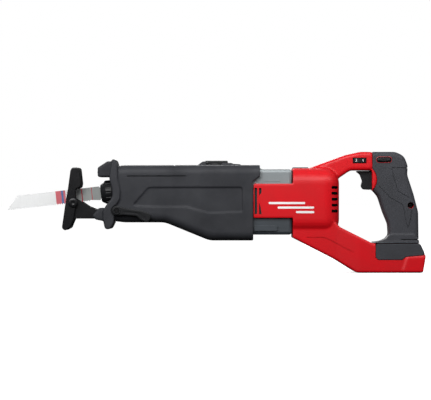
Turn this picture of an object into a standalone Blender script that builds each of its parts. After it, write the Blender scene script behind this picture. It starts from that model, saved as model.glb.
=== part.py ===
"""Cordless reciprocating saw without its battery, built as an assembly of separate parts.

X runs along the tool with the blade towards -X, Y across it, and +Z up. The underside of the
battery foot is at z = 0. Lengths in this script are millimetres and become metres in the mesh.
"""

import math

import bmesh
import bpy
from mathutils import Matrix, Vector

MM = 0.001
GAP = 0.3
FAR = 200.0

# Spindle line: it leans down to the front and crosses x = 0 at this height.
TILT = math.radians(6.5)
SPINDLE_HEIGHT = 122.6
SPINDLE_RADIUS = 8.0
STROKE = 32.0

# Motor and gear train.
MOTOR_HEIGHT = 97.0
SHAFT_RADIUS = 4.0
BEARING_RADIUS = 11.0
GEAR_X = 12.0
GEAR_TOP = 88.0
GEAR_THICKNESS = 8.0
GEAR_TEETH = 27
GEAR_TIP = 29.0
PINION_TEETH = 9
PINION_TIP = 8.0

# Nose.
NOSE_FRONT = -134.0
MOUTH_BACK = -117.5
MOUTH_HALF = 24.0
BUSHING_RADIUS = 12.0
PIVOT_X, PIVOT_Z = -188.5, 92.3
LEVER_X, LEVER_Z = -130.2, 81.7

# Case and boot: half widths at stations along x.
CASE_HALF = ((-160.0, 30.0), (-85.0, 30.0), (-20.0, 40.0), (42.0, 40.0), (49.0, 36.0), (120.0, 36.0))
CASE_TOP = 139.0
CASE_REAR = 101.3
CASE_SPLIT = 94.0
CASE_WALL = 3.5
BOOT_TOP = 142.2
BOOT_REAR = 50.0

# Housing.
HOUSING_FRONT = 102.0
BARREL_REAR = 163.8
BARREL_TOP = 138.2
BARREL_BOTTOM = 50.0
BARREL_HALF = 40.0
BARREL_ROUND = 20.0
WALL = 3.0
ARM_HALF = 18.0
ARM_END = 207.9
CORE_HALF = 14.5
GRIP_HALF = 18.0
GUARD_X, GUARD_Z, GUARD_RADIUS = 193.0, 123.0, 21.2

ROUND_SIDES = 24
SMALL_SIDES = 12
SCREW_SIDES = 8


# ---------------------------------------------------------------- materials and collections

def make_material(name, colour, roughness, metallic=0.0):
    """Principled material with one plain colour."""
    finish = bpy.data.materials.new(name)
    finish.use_nodes = True
    shader = finish.node_tree.nodes["Principled BSDF"]
    shader.inputs["Base Color"].default_value = (*colour, 1.0)
    shader.inputs["Roughness"].default_value = roughness
    shader.inputs["Metallic"].default_value = metallic
    return finish


def make_materials():
    """Every finish of the saw, by name."""
    return {
        "red_nylon": make_material("red_nylon", (0.55, 0.02, 0.03), 0.4),
        "black_rubber": make_material("black_rubber", (0.03, 0.03, 0.035), 0.8),
        "grey_rubber": make_material("grey_rubber", (0.07, 0.07, 0.08), 0.75),
        "cast_magnesium": make_material("cast_magnesium", (0.3, 0.32, 0.33), 0.5, 0.8),
        "dark_casting": make_material("dark_casting", (0.06, 0.07, 0.08), 0.6, 0.3),
        "black_plastic": make_material("black_plastic", (0.02, 0.02, 0.022), 0.5),
        "black_steel": make_material("black_steel", (0.02, 0.02, 0.02), 0.35, 0.7),
        "steel": make_material("steel", (0.55, 0.55, 0.56), 0.3, 1.0),
        "painted_blade": make_material("painted_blade", (0.78, 0.78, 0.78), 0.4),
        "bronze": make_material("bronze", (0.55, 0.35, 0.15), 0.4, 1.0),
        "copper": make_material("copper", (0.6, 0.25, 0.12), 0.35, 1.0),
        "clear_lens": make_material("clear_lens", (0.9, 0.95, 1.0), 0.1),
    }


def make_collection(name):
    """New collection linked to the scene."""
    group = bpy.data.collections.new(name)
    bpy.context.scene.collection.children.link(group)
    return group


def clear_scene():
    """Remove every object that the start-up file holds."""
    for item in list(bpy.data.objects):
        bpy.data.objects.remove(item, do_unlink=True)


# ---------------------------------------------------------------- outlines in the XZ plane

def inset(corners, distance):
    """Polygon of (x, z) corners with every side moved inwards by the distance."""
    count = len(corners)
    area = sum(a[0] * b[1] - b[0] * a[1] for a, b in zip(corners, corners[1:] + corners[:1]))
    side = 1.0 if area > 0 else -1.0
    moved = []
    for index, (x, z) in enumerate(corners):
        here = Vector((x, z))
        arrive = (here - Vector(corners[index - 1])).normalized()
        leave = (Vector(corners[(index + 1) % count]) - here).normalized()
        first = Vector((-arrive.y, arrive.x)) * side
        second = Vector((-leave.y, leave.x)) * side
        shift = (first + second) * distance / (1.0 + first.dot(second))
        moved.append((x + shift.x, z + shift.y))
    return moved


def arc(centre_x, centre_z, radius, start, end, steps):
    """Points on an arc in the XZ plane, from the start angle to the end angle in degrees."""
    angles = [math.radians(start + (end - start) * step / steps) for step in range(steps + 1)]
    return [(centre_x + radius * math.cos(a), centre_z + radius * math.sin(a)) for a in angles]


def toothed_outline(root, tip, teeth, land=0.45):
    """Wheel outline whose teeth step between the root and the tip radius."""
    points = []
    pitch = math.tau / teeth
    for tooth in range(teeth):
        for share, radius in ((0.0, root), (0.5 - land, tip), (0.5, tip), (1.0 - land, root)):
            angle = pitch * (tooth + share)
            points.append((radius * math.cos(angle), radius * math.sin(angle)))
    return points


def width_at(x, stations):
    """Half width at x, straight between the stations."""
    if x <= stations[0][0]:
        return stations[0][1]
    for (x0, w0), (x1, w1) in zip(stations, stations[1:]):
        if x <= x1:
            return w0 + (w1 - w0) * (x - x0) / (x1 - x0)
    return stations[-1][1]


# ---------------------------------------------------------------- solids

class Shop:
    """Makes solids and files them with the parts or with the cutters."""

    def __init__(self):
        self.parts = make_collection("reciprocating_saw")
        self.cutters = make_collection("cutters")
        self.materials = make_materials()

    def file(self, piece, finish):
        """A piece with a finish is a part of the saw, and one without is a cutter."""
        if finish is None:
            self.cutters.objects.link(piece)
            piece.hide_render = True
            piece.display_type = "WIRE"
        else:
            self.parts.objects.link(piece)
            piece.data.materials.append(self.materials[finish])
        return piece

    def from_bmesh(self, name, shape, finish, matrix=None):
        """Object that holds a finished bmesh."""
        mesh = bpy.data.meshes.new(name)
        shape.to_mesh(mesh)
        shape.free()
        piece = bpy.data.objects.new(name, mesh)
        if matrix is not None:
            piece.matrix_world = matrix
        return self.file(piece, finish)

    def block(self, name, low, high, finish=None, matrix=None):
        """Box between two corners."""
        shape = bmesh.new()
        bmesh.ops.create_cube(shape, size=1.0)
        size = Vector([abs(b - a) for a, b in zip(low, high)])
        centre = (Vector(high) + Vector(low)) / 2
        bmesh.ops.transform(shape, verts=shape.verts, matrix=Matrix.Diagonal((*(size * MM), 1.0)))
        bmesh.ops.translate(shape, verts=shape.verts, vec=centre * MM)
        return self.from_bmesh(name, shape, finish, matrix)

    def rod(self, name, start, end, radius, finish=None, sides=ROUND_SIDES, matrix=None):
        """Cylinder from one point to another."""
        shape = bmesh.new()
        line = Vector(end) - Vector(start)
        bmesh.ops.create_cone(shape, cap_ends=True, segments=sides, radius1=radius * MM,
                              radius2=radius * MM, depth=line.length * MM)
        turn = Vector((0, 0, 1)).rotation_difference(line).to_matrix().to_4x4()
        place = Matrix.Translation((Vector(end) + Vector(start)) / 2 * MM)
        bmesh.ops.transform(shape, verts=shape.verts, matrix=place @ turn)
        return self.from_bmesh(name, shape, finish, matrix)

    def plate(self, name, outlines, low, high, finish=None, stations=None, flat="XZ"):
        """Solid of constant outline from y = low to y = high, or in z for an XY outline."""
        curve = bpy.data.curves.new(name, "CURVE")
        curve.dimensions = "2D"
        curve.fill_mode = "BOTH"
        curve.extrude = (high - low) / 2 * MM
        for outline in outlines:
            spline = curve.splines.new("POLY")
            spline.points.add(len(outline) - 1)
            for point, (along, up) in zip(spline.points, outline):
                point.co = (along * MM, up * MM, 0.0, 1.0)
            spline.use_cyclic_u = True
        flat_piece = bpy.data.objects.new(name, curve)
        if flat == "XZ":
            flat_piece.matrix_world = (Matrix.Translation((0, (low + high) / 2 * MM, 0))
                                       @ Matrix.Rotation(math.pi / 2, 4, "X"))
        else:
            flat_piece.matrix_world = Matrix.Translation((0, 0, (low + high) / 2 * MM))
        return self.solid_from_curve(name, flat_piece, finish, stations)

    def solid_from_curve(self, name, flat_piece, finish, stations=None):
        """Mesh object with the curve's shape, its caps welded and its flat faces merged."""
        bpy.context.scene.collection.objects.link(flat_piece)
        bpy.context.view_layer.update()
        seen = flat_piece.evaluated_get(bpy.context.evaluated_depsgraph_get())
        mesh = bpy.data.meshes.new_from_object(seen)
        mesh.transform(flat_piece.matrix_world)
        bpy.data.objects.remove(flat_piece, do_unlink=True)
        shape = bmesh.new()
        shape.from_mesh(mesh)
        bmesh.ops.remove_doubles(shape, verts=shape.verts, dist=0.00001)
        bmesh.ops.dissolve_limit(shape, angle_limit=0.001, verts=shape.verts, edges=shape.edges)
        if stations:
            self.taper(shape, stations)
        bmesh.ops.recalc_face_normals(shape, faces=shape.faces)
        bpy.data.meshes.remove(mesh)
        return self.from_bmesh(name, shape, finish)

    def taper(self, shape, stations):
        """Scale the width of a solid that spans y = -1 to 1 mm to the stations' half widths."""
        for x, _ in stations[1:-1]:
            everything = list(shape.verts) + list(shape.edges) + list(shape.faces)
            bmesh.ops.bisect_plane(shape, geom=everything, dist=0.000001,
                                   plane_co=(x * MM, 0, 0), plane_no=(1, 0, 0))
        for vert in shape.verts:
            vert.co.y *= width_at(vert.co.x / MM, stations)

    def turned(self, name, profile, finish, matrix, steps=ROUND_SIDES):
        """Solid of revolution about the matrix's z axis; the profile holds (radius, height)."""
        mesh = bpy.data.meshes.new(name)
        verts = [(radius * MM, 0.0, height * MM) for radius, height in profile]
        edges = [(index, index + 1) for index in range(len(verts) - 1)]
        if profile[0][0] > 0:
            edges.append((len(verts) - 1, 0))
        mesh.from_pydata(verts, edges, [])
        piece = bpy.data.objects.new(name, mesh)
        piece.matrix_world = matrix
        screw = piece.modifiers.new("turn", "SCREW")
        screw.steps = steps
        screw.render_steps = steps
        screw.use_merge_vertices = True
        screw.merge_threshold = 0.00001
        return self.file(piece, finish)

    def ring(self, name, outer, inner, low, high, finish, matrix, steps=ROUND_SIDES):
        """Plain ring about the matrix's z axis."""
        profile = [(outer, high), (outer, low), (inner, low), (inner, high)]
        return self.turned(name, profile, finish, matrix, steps)

    def coil(self, name, radius, wire, length, turns, finish, matrix):
        """Coil spring along the matrix's z axis."""
        curve = bpy.data.curves.new(name, "CURVE")
        curve.dimensions = "3D"
        curve.bevel_depth = wire / 2 * MM
        curve.bevel_resolution = 0
        curve.use_fill_caps = True
        steps = int(turns * 10)
        spline = curve.splines.new("POLY")
        spline.points.add(steps)
        for step, point in enumerate(spline.points):
            angle = math.tau * turns * step / steps
            point.co = (radius * MM * math.cos(angle), radius * MM * math.sin(angle),
                        length * MM * step / steps, 1.0)
        piece = bpy.data.objects.new(name, curve)
        piece.matrix_world = matrix
        self.parts.objects.link(piece)
        curve.materials.append(self.materials[finish])
        return piece


def boolean(piece, other, operation):
    """Add a Boolean modifier."""
    change = piece.modifiers.new(operation.lower(), "BOOLEAN")
    change.operation = operation
    change.object = other
    return piece


def cut(piece, *others):
    """Take the other solids away from the piece."""
    for other in others:
        boolean(piece, other, "DIFFERENCE")
    return piece


def join(piece, *others):
    """Add the other solids to the piece."""
    for other in others:
        boolean(piece, other, "UNION")
    return piece


def keep(piece, other):
    """Keep only what lies inside the other solid."""
    return boolean(piece, other, "INTERSECT")


def soften(piece, width, segments=2, angle=30.0):
    """Round the piece's sharp edges."""
    bevel = piece.modifiers.new("edge", "BEVEL")
    bevel.width = width * MM
    bevel.segments = segments
    bevel.limit_method = "ANGLE"
    bevel.angle_limit = math.radians(angle)
    bevel.harden_normals = False
    piece.modifiers.new("flat_faces", "TRIANGULATE")
    return piece


def joint_axis(name, place):
    """Empty that marks a joint's axis."""
    mark = bpy.data.objects.new(name, None)
    mark.location = Vector(place) * MM
    mark.empty_display_size = 0.01
    bpy.context.scene.collection.objects.link(mark)
    return mark


def hang(mark, *pieces):
    """Parent the pieces to a joint's mark without moving them."""
    for piece in pieces:
        piece.parent = mark
        piece.matrix_parent_inverse = mark.matrix_basis.inverted()


# Placing matrices: the spindle's frame, and turned solids about each axis.
SPINDLE = Matrix.Translation((0, 0, SPINDLE_HEIGHT * MM)) @ Matrix.Rotation(-TILT, 4, "Y")
ALONG_X = Matrix.Rotation(math.pi / 2, 4, "Y")
SPINDLE_LINE = SPINDLE @ ALONG_X
MOTOR_LINE = Matrix.Translation((0, 0, MOTOR_HEIGHT * MM)) @ ALONG_X
GEAR_LINE = Matrix.Translation((GEAR_X * MM, 0, 0))


# ---------------------------------------------------------------- gear case and boot

CASE_OUTLINE = [(NOSE_FRONT, CASE_TOP), (57.0, CASE_TOP), (62.0, 136.5), (CASE_REAR, 136.5),
                (CASE_REAR, 50.2), (38.0, 50.2), (28.0, 45.5), (-6.0, 45.5), (-67.3, 69.3),
                (NOSE_FRONT, 69.3)]


def case_blank(shop, name, grow, finish=None):
    """Gear case outline, grown by a distance, with its tapered width."""
    stations = tuple((x, half + grow) for x, half in CASE_HALF)
    outline = inset(CASE_OUTLINE, -grow)
    return soften(shop.plate(name, [outline], -1.0, 1.0, finish, stations), 4.0 + grow)


def make_gear_case(shop, cutters):
    """Upper and lower case halves, which meet on a level plane."""
    stations = tuple((x, half - CASE_WALL) for x, half in CASE_HALF)
    hollow = shop.plate("case_hollow", [[(-104.0, 135.5), (58.0, 135.5), (62.0, 133.0), (86.0, 133.0),
                                         (86.0, 54.0), (36.0, 54.0), (27.0, 49.5), (-5.0, 49.5),
                                         (-66.0, 72.8), (-104.0, 72.8)]], -1.0, 1.0, None, stations)
    mouth = cutters["mouth"]
    front_bore = shop.rod("front_bore", (-140, 0, 0), (-90, 0, 0), BUSHING_RADIUS + GAP, matrix=SPINDLE)
    rear_bore = shop.rod("rear_bore", (-62, 0, 0), (-40, 0, 0), BUSHING_RADIUS + GAP, matrix=SPINDLE)
    motor_bore = shop.rod("motor_bore", (80, 0, MOTOR_HEIGHT), (110, 0, MOTOR_HEIGHT), BEARING_RADIUS + GAP)
    slot = shop.block("post_slot", (-140, -19.4, 73.0), (-90, 19.4, 76.6))
    web = shop.block("rear_web", (-58, -32, 107), (-46, 32, 137))
    seat = shop.rod("gear_seat", (GEAR_X, 0, 47), (GEAR_X, 0, 76), 15.0)
    seat_bore = shop.rod("gear_seat_bore", (GEAR_X, 0, 60), (GEAR_X, 0, 90), BEARING_RADIUS + GAP)
    above = shop.block("above_split", (-FAR, -FAR, CASE_SPLIT + GAP / 2), (FAR, FAR, FAR))
    below = shop.block("below_split", (-FAR, -FAR, -FAR), (FAR, FAR, CASE_SPLIT - GAP / 2))

    upper = case_blank(shop, "gear_case_upper", 0.0, "cast_magnesium")
    join(cut(upper, hollow), web)
    cut(upper, mouth, front_bore, rear_bore, motor_bore, cutters["orbit_hole"])
    lower = case_blank(shop, "gear_case_lower", 0.0, "dark_casting")
    cut(join(cut(lower, hollow), seat), seat_bore)
    cut(lower, mouth, slot, motor_bore, cutters["lever_hole"])
    for place, (x, y) in (("front_left", (-121, -26)), ("front_right", (-121, 26)),
                          ("rear_left", (94, -28)), ("rear_right", (94, 28))):
        bottom = 69.3 if x < 0 else 50.2
        hole = shop.rod(f"case_hole_{place}", (x, y, 40), (x, y, 112), 2.2, sides=SCREW_SIDES)
        recess = shop.rod(f"case_recess_{place}", (x, y, 40), (x, y, bottom + 7), 4.0, sides=SCREW_SIDES)
        cut(upper, hole)
        cut(lower, hole, recess)
        make_screw(shop, f"case_screw_{place}", (x, y, bottom + 7.3), (0, 0, 1), 34.0)
    keep(upper, above)
    keep(lower, below)


def make_screw(shop, name, seat, towards, length):
    """Pan head screw: the head sits under the seat, and the shank runs on past it."""
    line = Vector(towards)
    turn = Vector((0, 0, 1)).rotation_difference(line).to_matrix().to_4x4()
    place = Matrix.Translation(Vector(seat) * MM) @ turn
    profile = [(0.0, length), (1.8, length), (1.8, -GAP), (3.5, -GAP), (3.5, -3.0), (0.0, -3.0)]
    return shop.turned(name, profile, "steel", place, SCREW_SIDES)


def make_boot(shop, cutters):
    """Rubber boot over the gear case, with the thick flange round its mouth."""
    stations = tuple((x, half + 3.0) for x, half in CASE_HALF[:3]) + ((100.0, 43.0),)
    body = [(-150.0, BOOT_TOP), (90.0, BOOT_TOP), (90.0, 42.5), (-8.0, 42.5), (-66.8, 66.3), (-150.0, 66.3)]
    boot = soften(shop.plate("boot", [body], -1.0, 1.0, "black_rubber", stations), 13.0, 3)
    front_trim = shop.block("boot_front_trim", (-FAR, -FAR, -FAR), (-132.0, FAR, FAR))
    rear_trim = shop.plate("boot_rear_trim", [[(58.6, 150.0), (58.6, 127.6), (BOOT_REAR - 1.0, 120.8),
                                               (BOOT_REAR, 30.0), (150.0, 30.0), (150.0, 150.0)]],
                           -60.0, 60.0)
    cut(boot, front_trim, rear_trim)
    flange = shop.plate("boot_flange", [[(-136.9, 150.3), (-140.3, 124.6), (-136.3, 107.8), (-136.3, 99.4),
                                         (-143.6, 90.2), (-148.6, 82.5), (-148.6, 70.0), (-146.0, 57.3),
                                         (-138.6, 57.3), (-134.0, 66.5), (-133.0, 86.7), (-126.9, 96.0),
                                         (-125.9, 107.8), (-129.4, 124.6), (-130.0, 143.0),
                                         (-132.0, 148.5)]], -33.6, 33.6)
    hood = shop.plate("boot_hood", [[(-156.3, 126.3), (-156.3, 139.0), (-143.5, 147.4), (-134.0, 147.4),
                                     (-134.0, 126.3)]], -22.0, 22.0)
    lug_outline = [(-163.4, 75.0), (-153.8, 85.9), (-145.0, 84.9), (-145.0, 67.5), (-158.0, 70.0)]
    lugs = [shop.plate("boot_lug_left", [lug_outline], -32.4, -23.0),
            shop.plate("boot_lug_right", [lug_outline], 23.0, 32.4)]
    join(boot, soften(flange, 1.6), soften(hood, 2.5), *[soften(lug, 1.5) for lug in lugs])
    cut(boot, case_blank(shop, "case_room", GAP), cutters["mouth"], cutters["orbit_hole"],
        cutters["lever_hole"], cutters["led_hole"])
    return boot


def make_shared_cutters(shop):
    """Holes that run through more than one part."""
    sill = NOSE_FRONT - GAP / 2
    mouth = [(-175.0, 71.0), (sill, 71.0), (sill, 76.9), (MOUTH_BACK, 76.9), (MOUTH_BACK, 128.0),
             (-137.0, 126.0), (-175.0, 122.0)]
    return {
        "mouth": soften(shop.plate("mouth", [mouth], -MOUTH_HALF, MOUTH_HALF), 2.0),
        "orbit_hole": shop.rod("orbit_hole", (1.2, 0, 130), (1.2, 0, 160), 4.3),
        "lever_hole": shop.rod("lever_hole", (LEVER_X, -60, LEVER_Z), (LEVER_X, 29, LEVER_Z), 2.9),
        "led_hole": shop.rod("led_hole", (-160, 0, 133), (-147, 0, 133), 3.5 + GAP),
    }


# ---------------------------------------------------------------- nose: shoe, post, lever, lamp

SHOE_FRONT = [(-192.2, 134.8), (-195.6, 109.6), (-198.9, 90.9), (-203.5, 59.0)]


def make_shoe(shop):
    """Pivoting shoe: a bent plate with side flanges and a slot for the blade."""
    outline = SHOE_FRONT + [(-199.5, 55.2), (-192.2, 59.0), (-187.2, 70.8), (-184.0, 90.0),
                            (-184.7, 104.0), (-185.0, 110.5), (-178.6, 112.6), (-177.7, 118.0),
                            (-180.0, 139.2), (-190.0, 139.2)]
    shoe = shop.plate("shoe", [outline], -25.5, 25.5, "black_steel")
    back = [(x + 3.5, z) for x, z in SHOE_FRONT]
    room = shop.plate("shoe_room", [[(-187.5, 150.0), *back, (-199.5, 40.0), (-150.0, 40.0),
                                     (-150.0, 150.0)]], -22.0, 22.0)
    slot = shop.block("shoe_slot", (-220, -5, 64), (-150, 5, 126))
    pin_hole = shop.rod("shoe_pin_hole", (PIVOT_X, -40, PIVOT_Z), (PIVOT_X, 40, PIVOT_Z), 4.3)
    cut(soften(shoe, 1.2), room, slot, pin_hole)

    arm = [(-193.9, 88.0), (-191.5, 97.0), (-184.5, 98.4), (-177.9, 94.4), (-167.8, 87.6),
           (-157.7, 83.8), (-140.0, 83.0), (-140.0, 71.3), (-187.0, 71.3)]
    post = shop.block("shoe_post", (-187, -18.9, 73.3), (-75, 18.9, 76.3), "black_steel")
    arms = [shop.plate("post_arm_left", [arm], -21.7, -18.2), shop.plate("post_arm_right", [arm], 18.2, 21.7)]
    teeth = [shop.block(f"post_notch_{index}", (-100 + 6 * index, -8, 70), (-97 + 6 * index, 8, 80))
             for index in range(4)]
    cut(join(post, *arms), pin_hole, *teeth)

    pins = []
    for name, side in (("shoe_pin_left", -1), ("shoe_pin_right", 1)):
        turn = Matrix.Translation((PIVOT_X * MM, 0, PIVOT_Z * MM)) @ Matrix.Rotation(-side * math.pi / 2, 4, "X")
        profile = [(0.0, 27.6), (5.6, 27.6), (6.4, 26.6), (6.4, 25.8), (4.0, 25.8), (4.0, 17.2), (0.0, 17.2)]
        pins.append(shop.turned(name, profile, "steel", turn, SMALL_SIDES))
    hang(joint_axis("shoe_pivot_axis", (PIVOT_X, 0, PIVOT_Z)), shoe, *pins)


def make_lever(shop):
    """Shoe release lever on the left side of the nose, with its cross shaft."""
    outline = (arc(LEVER_X, LEVER_Z, 5.2, 240, 60, 8)
               + [(-120.0, 83.9), (-98.0, 81.2)]
               + arc(-91.0, 72.5, 5.3, 60, -110, 6)
               + [(-100.0, 70.0), (-104.0, 75.3), (-122.0, 76.9)])
    lever = shop.plate("release_lever", [outline], -39.0, -33.9, "black_plastic")
    lever_bore = shop.rod("lever_bore", (LEVER_X, -50, LEVER_Z), (LEVER_X, -35.5, LEVER_Z), 2.9)
    soften(cut(lever, lever_bore), 0.8, 1)
    shaft = shop.rod("lever_shaft", (LEVER_X, -39.6, LEVER_Z), (LEVER_X, 28, LEVER_Z), 2.6, "steel", SMALL_SIDES)
    lever_through = shop.rod("lever_through", (LEVER_X, -50, LEVER_Z), (LEVER_X, -30, LEVER_Z), 2.9)
    cut(lever, lever_through)
    hang(joint_axis("lever_axis", (LEVER_X, 0, LEVER_Z)), lever, shaft)


def make_lamp(shop):
    """Work lamp lens in the hood over the blade."""
    place = Matrix.Translation((0, 0, 0.133)) @ ALONG_X
    profile = [(0.0, -147.5), (3.5, -147.5), (3.5, -155.5), (2.4, -157.0), (0.0, -157.6)]
    shop.turned("lamp_lens", profile, "clear_lens", place, SMALL_SIDES)


# ---------------------------------------------------------------- spindle, clamp and blade

BLADE_TIP = -280.0
BLADE_BACK = -155.5
TANG_END = -138.5
BLADE_HALF = 9.2
TOOTH_PITCH = 3.0
TOOTH_DEPTH = 1.4


def make_blade(shop):
    """Saw blade with teeth along its lower edge and a narrower tang in the clamp."""
    outline = [(BLADE_TIP, -BLADE_HALF + TOOTH_DEPTH), (BLADE_TIP + 15.7, BLADE_HALF),
               (BLADE_BACK, BLADE_HALF), (BLADE_BACK + 3.0, 5.5), (TANG_END, 5.5), (TANG_END, -5.5),
               (BLADE_BACK + 3.0, -5.5), (BLADE_BACK, -BLADE_HALF)]
    along = -168.0
    while along - TOOTH_PITCH > BLADE_TIP:
        outline.append((along, -BLADE_HALF + TOOTH_DEPTH))
        outline.append((along - TOOTH_PITCH, -BLADE_HALF))
        along -= TOOTH_PITCH
    blade = shop.plate("blade", [outline], -0.6, 0.6, "painted_blade")
    blade.matrix_world = SPINDLE
    return blade


def make_spindle(shop):
    """Spindle with its yoke, and the quick blade clamp on its nose."""
    spindle = shop.rod("spindle", (-136.2, 0, 0), (4, 0, 0), SPINDLE_RADIUS, "steel", matrix=SPINDLE)
    yoke = shop.block("yoke", (0, -22, -8.5), (26, 22, 6.0), matrix=SPINDLE)
    yoke_slot = shop.block("yoke_slot", (7, -20, -12), (19, 20, 1.0), matrix=SPINDLE)
    cut(join(spindle, yoke), yoke_slot)

    core_profile = [(0.0, -136.5), (12.3, -136.5), (12.3, -137.9), (9.5, -137.9), (9.5, -152.0), (0.0, -152.0)]
    core = shop.turned("clamp_core", core_profile, "black_steel", SPINDLE_LINE)
    blade_slot = shop.block("blade_slot", (-160, -0.95, -5.9), (-138, 0.95, 5.9), matrix=SPINDLE)
    cut(core, blade_slot)

    collar_profile = [(16.0, -138.2), (16.0, -147.0), (12.5, -152.0), (11.0, -153.6), (9.8, -153.6),
                      (9.8, -147.2), (12.8, -147.2), (12.8, -138.2)]
    collar = shop.turned("clamp_collar", collar_profile, "black_plastic", SPINDLE_LINE, 24)
    for index in range(12):
        turn = SPINDLE @ Matrix.Rotation(math.tau * index / 12, 4, "X")
        flute = shop.rod(f"collar_flute_{index}", (-150, 0, 17.3), (-134, 0, 17.3), 2.2, sides=8, matrix=turn)
        cut(collar, flute)
    spring_place = SPINDLE @ Matrix.Translation((-0.146, 0, 0)) @ ALONG_X
    spring = shop.coil("clamp_spring", 11.1, 1.2, 6.6, 3, "steel", spring_place)
    hang(joint_axis("spindle_axis", (0, 0, SPINDLE_HEIGHT)), spindle, core, collar, spring, make_blade(shop))


def make_bushings(shop):
    """The spindle's two bushings and its dust seal, held in the case."""
    inner = SPINDLE_RADIUS + GAP
    shop.ring("front_bushing", BUSHING_RADIUS, inner, -116.5, -104.5, "bronze", SPINDLE_LINE)
    shop.ring("rear_bushing", BUSHING_RADIUS, inner, -58.0, -47.0, "bronze", SPINDLE_LINE)
    shop.ring("spindle_seal", BUSHING_RADIUS, inner + 0.3, -104.1, -100.0, "black_rubber", SPINDLE_LINE)


# ---------------------------------------------------------------- gear train and motor

def make_gears(shop):
    """Crank gear under the spindle, its bearing, and the counterweight."""
    outline = toothed_outline(GEAR_TIP - 2.5, GEAR_TIP, GEAR_TEETH)
    gear = shop.plate("crank_gear", [outline], GEAR_TOP - GEAR_THICKNESS, GEAR_TOP, "steel", flat="XY")
    stub = shop.rod("gear_stub", (0, 0, 64), (0, 0, 82), 6.0)
    pin = shop.rod("crank_pin", (STROKE / 2, 0, 84), (STROKE / 2, 0, 109), 5.0)
    join(gear, stub, pin)
    gear.matrix_world = GEAR_LINE
    stub.matrix_world = GEAR_LINE
    pin.matrix_world = GEAR_LINE
    hang(joint_axis("crank_axis", (GEAR_X, 0, GEAR_TOP)), gear)
    shop.ring("gear_bearing", BEARING_RADIUS, 6.0 + GAP, 65.0, 73.0, "steel", GEAR_LINE)
    weight = shop.block("counterweight", (-62, -22, 88.6), (-30, 22, 102), "black_steel")
    soften(weight, 1.5, 1)
    hang(joint_axis("counterweight_axis", (-46, 0, 95)), weight)


def make_motor(shop):
    """Brushless motor: stator, magnet rotor, shaft with its pinion, fan and bearings."""
    inner = SHAFT_RADIUS + GAP
    shop.ring("stator", 29.0, 16.5, 114.0, 148.0, "copper", MOTOR_LINE)
    rotor = shop.ring("rotor", 15.8, inner, 116.0, 146.0, "black_steel", MOTOR_LINE)
    shaft = shop.rod("motor_shaft", (46.6, 0, MOTOR_HEIGHT), (158, 0, MOTOR_HEIGHT), SHAFT_RADIUS, "steel")
    pinion = shop.plate("pinion", [toothed_outline(PINION_TIP - 2.0, PINION_TIP, PINION_TEETH)],
                        35.0, 46.2, "steel", flat="XY")
    pinion.matrix_world = MOTOR_LINE
    blades = toothed_outline(13.0, 27.0, 9, 0.3)
    fan = shop.plate("fan", [blades], 103.5, 110.5, "black_plastic", flat="XY")
    fan_bore = shop.rod("fan_bore", (0, 0, 100), (0, 0, 115), inner)
    cut(fan, fan_bore)
    fan.matrix_world = MOTOR_LINE
    fan_bore.matrix_world = MOTOR_LINE
    shop.ring("front_motor_bearing", BEARING_RADIUS, inner, 88.0, 96.0, "steel", MOTOR_LINE)
    shop.ring("rear_motor_bearing", BEARING_RADIUS, inner, 151.0, 157.5, "steel", MOTOR_LINE)
    hang(joint_axis("motor_axis", (130, 0, MOTOR_HEIGHT)), rotor, shaft, pinion, fan)


# ---------------------------------------------------------------- housing, grip and foot

GRIP_OUTLINE = [(208.3, 160.0), (239.0, 160.0), (250.5, 154.5), (255.6, 141.0), (254.6, 129.6),
                (262.9, 104.3), (269.3, 79.9), (270.1, 39.0), (225.7, 39.0), (230.2, 49.9),
                (229.3, 64.2), (222.8, 79.9), (215.9, 101.4), (208.3, 109.0)]
FOOT_OUTLINE = [(80.0, 76.0), (80.0, 52.0), (101.0, 46.5), (158.8, 16.8), (186.0, 0.0), (273.6, 0.0),
                (277.7, 23.4), (270.5, 38.6), (207.8, 38.6), (164.5, 60.3), (150.0, 76.0)]
PAD_OUTLINE = [(211.3, 40.0), (211.3, 20.5), (214.5, 17.2), (246.0, 17.2), (251.5, 21.3), (279.0, 23.5),
               (279.0, 40.0)]
# Screw line x and z, width to its side there, boss radius, and the side of its head.
HOUSING_SCREWS = {
    "arm": (158.0, 134.0, 18.0, 5.0, 1),
    "barrel": (108.5, 58.5, 36.0, 5.0, 1),
    "keel": (176.0, 32.0, 36.8, 5.0, 1),
    "grip_top": (243.5, 144.0, 14.5, 5.0, 1),
    "grip": (259.0, 89.0, 14.5, 3.0, -1),
    "foot": (268.0, 12.0, 38.0, 5.0, 1),
}


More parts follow.
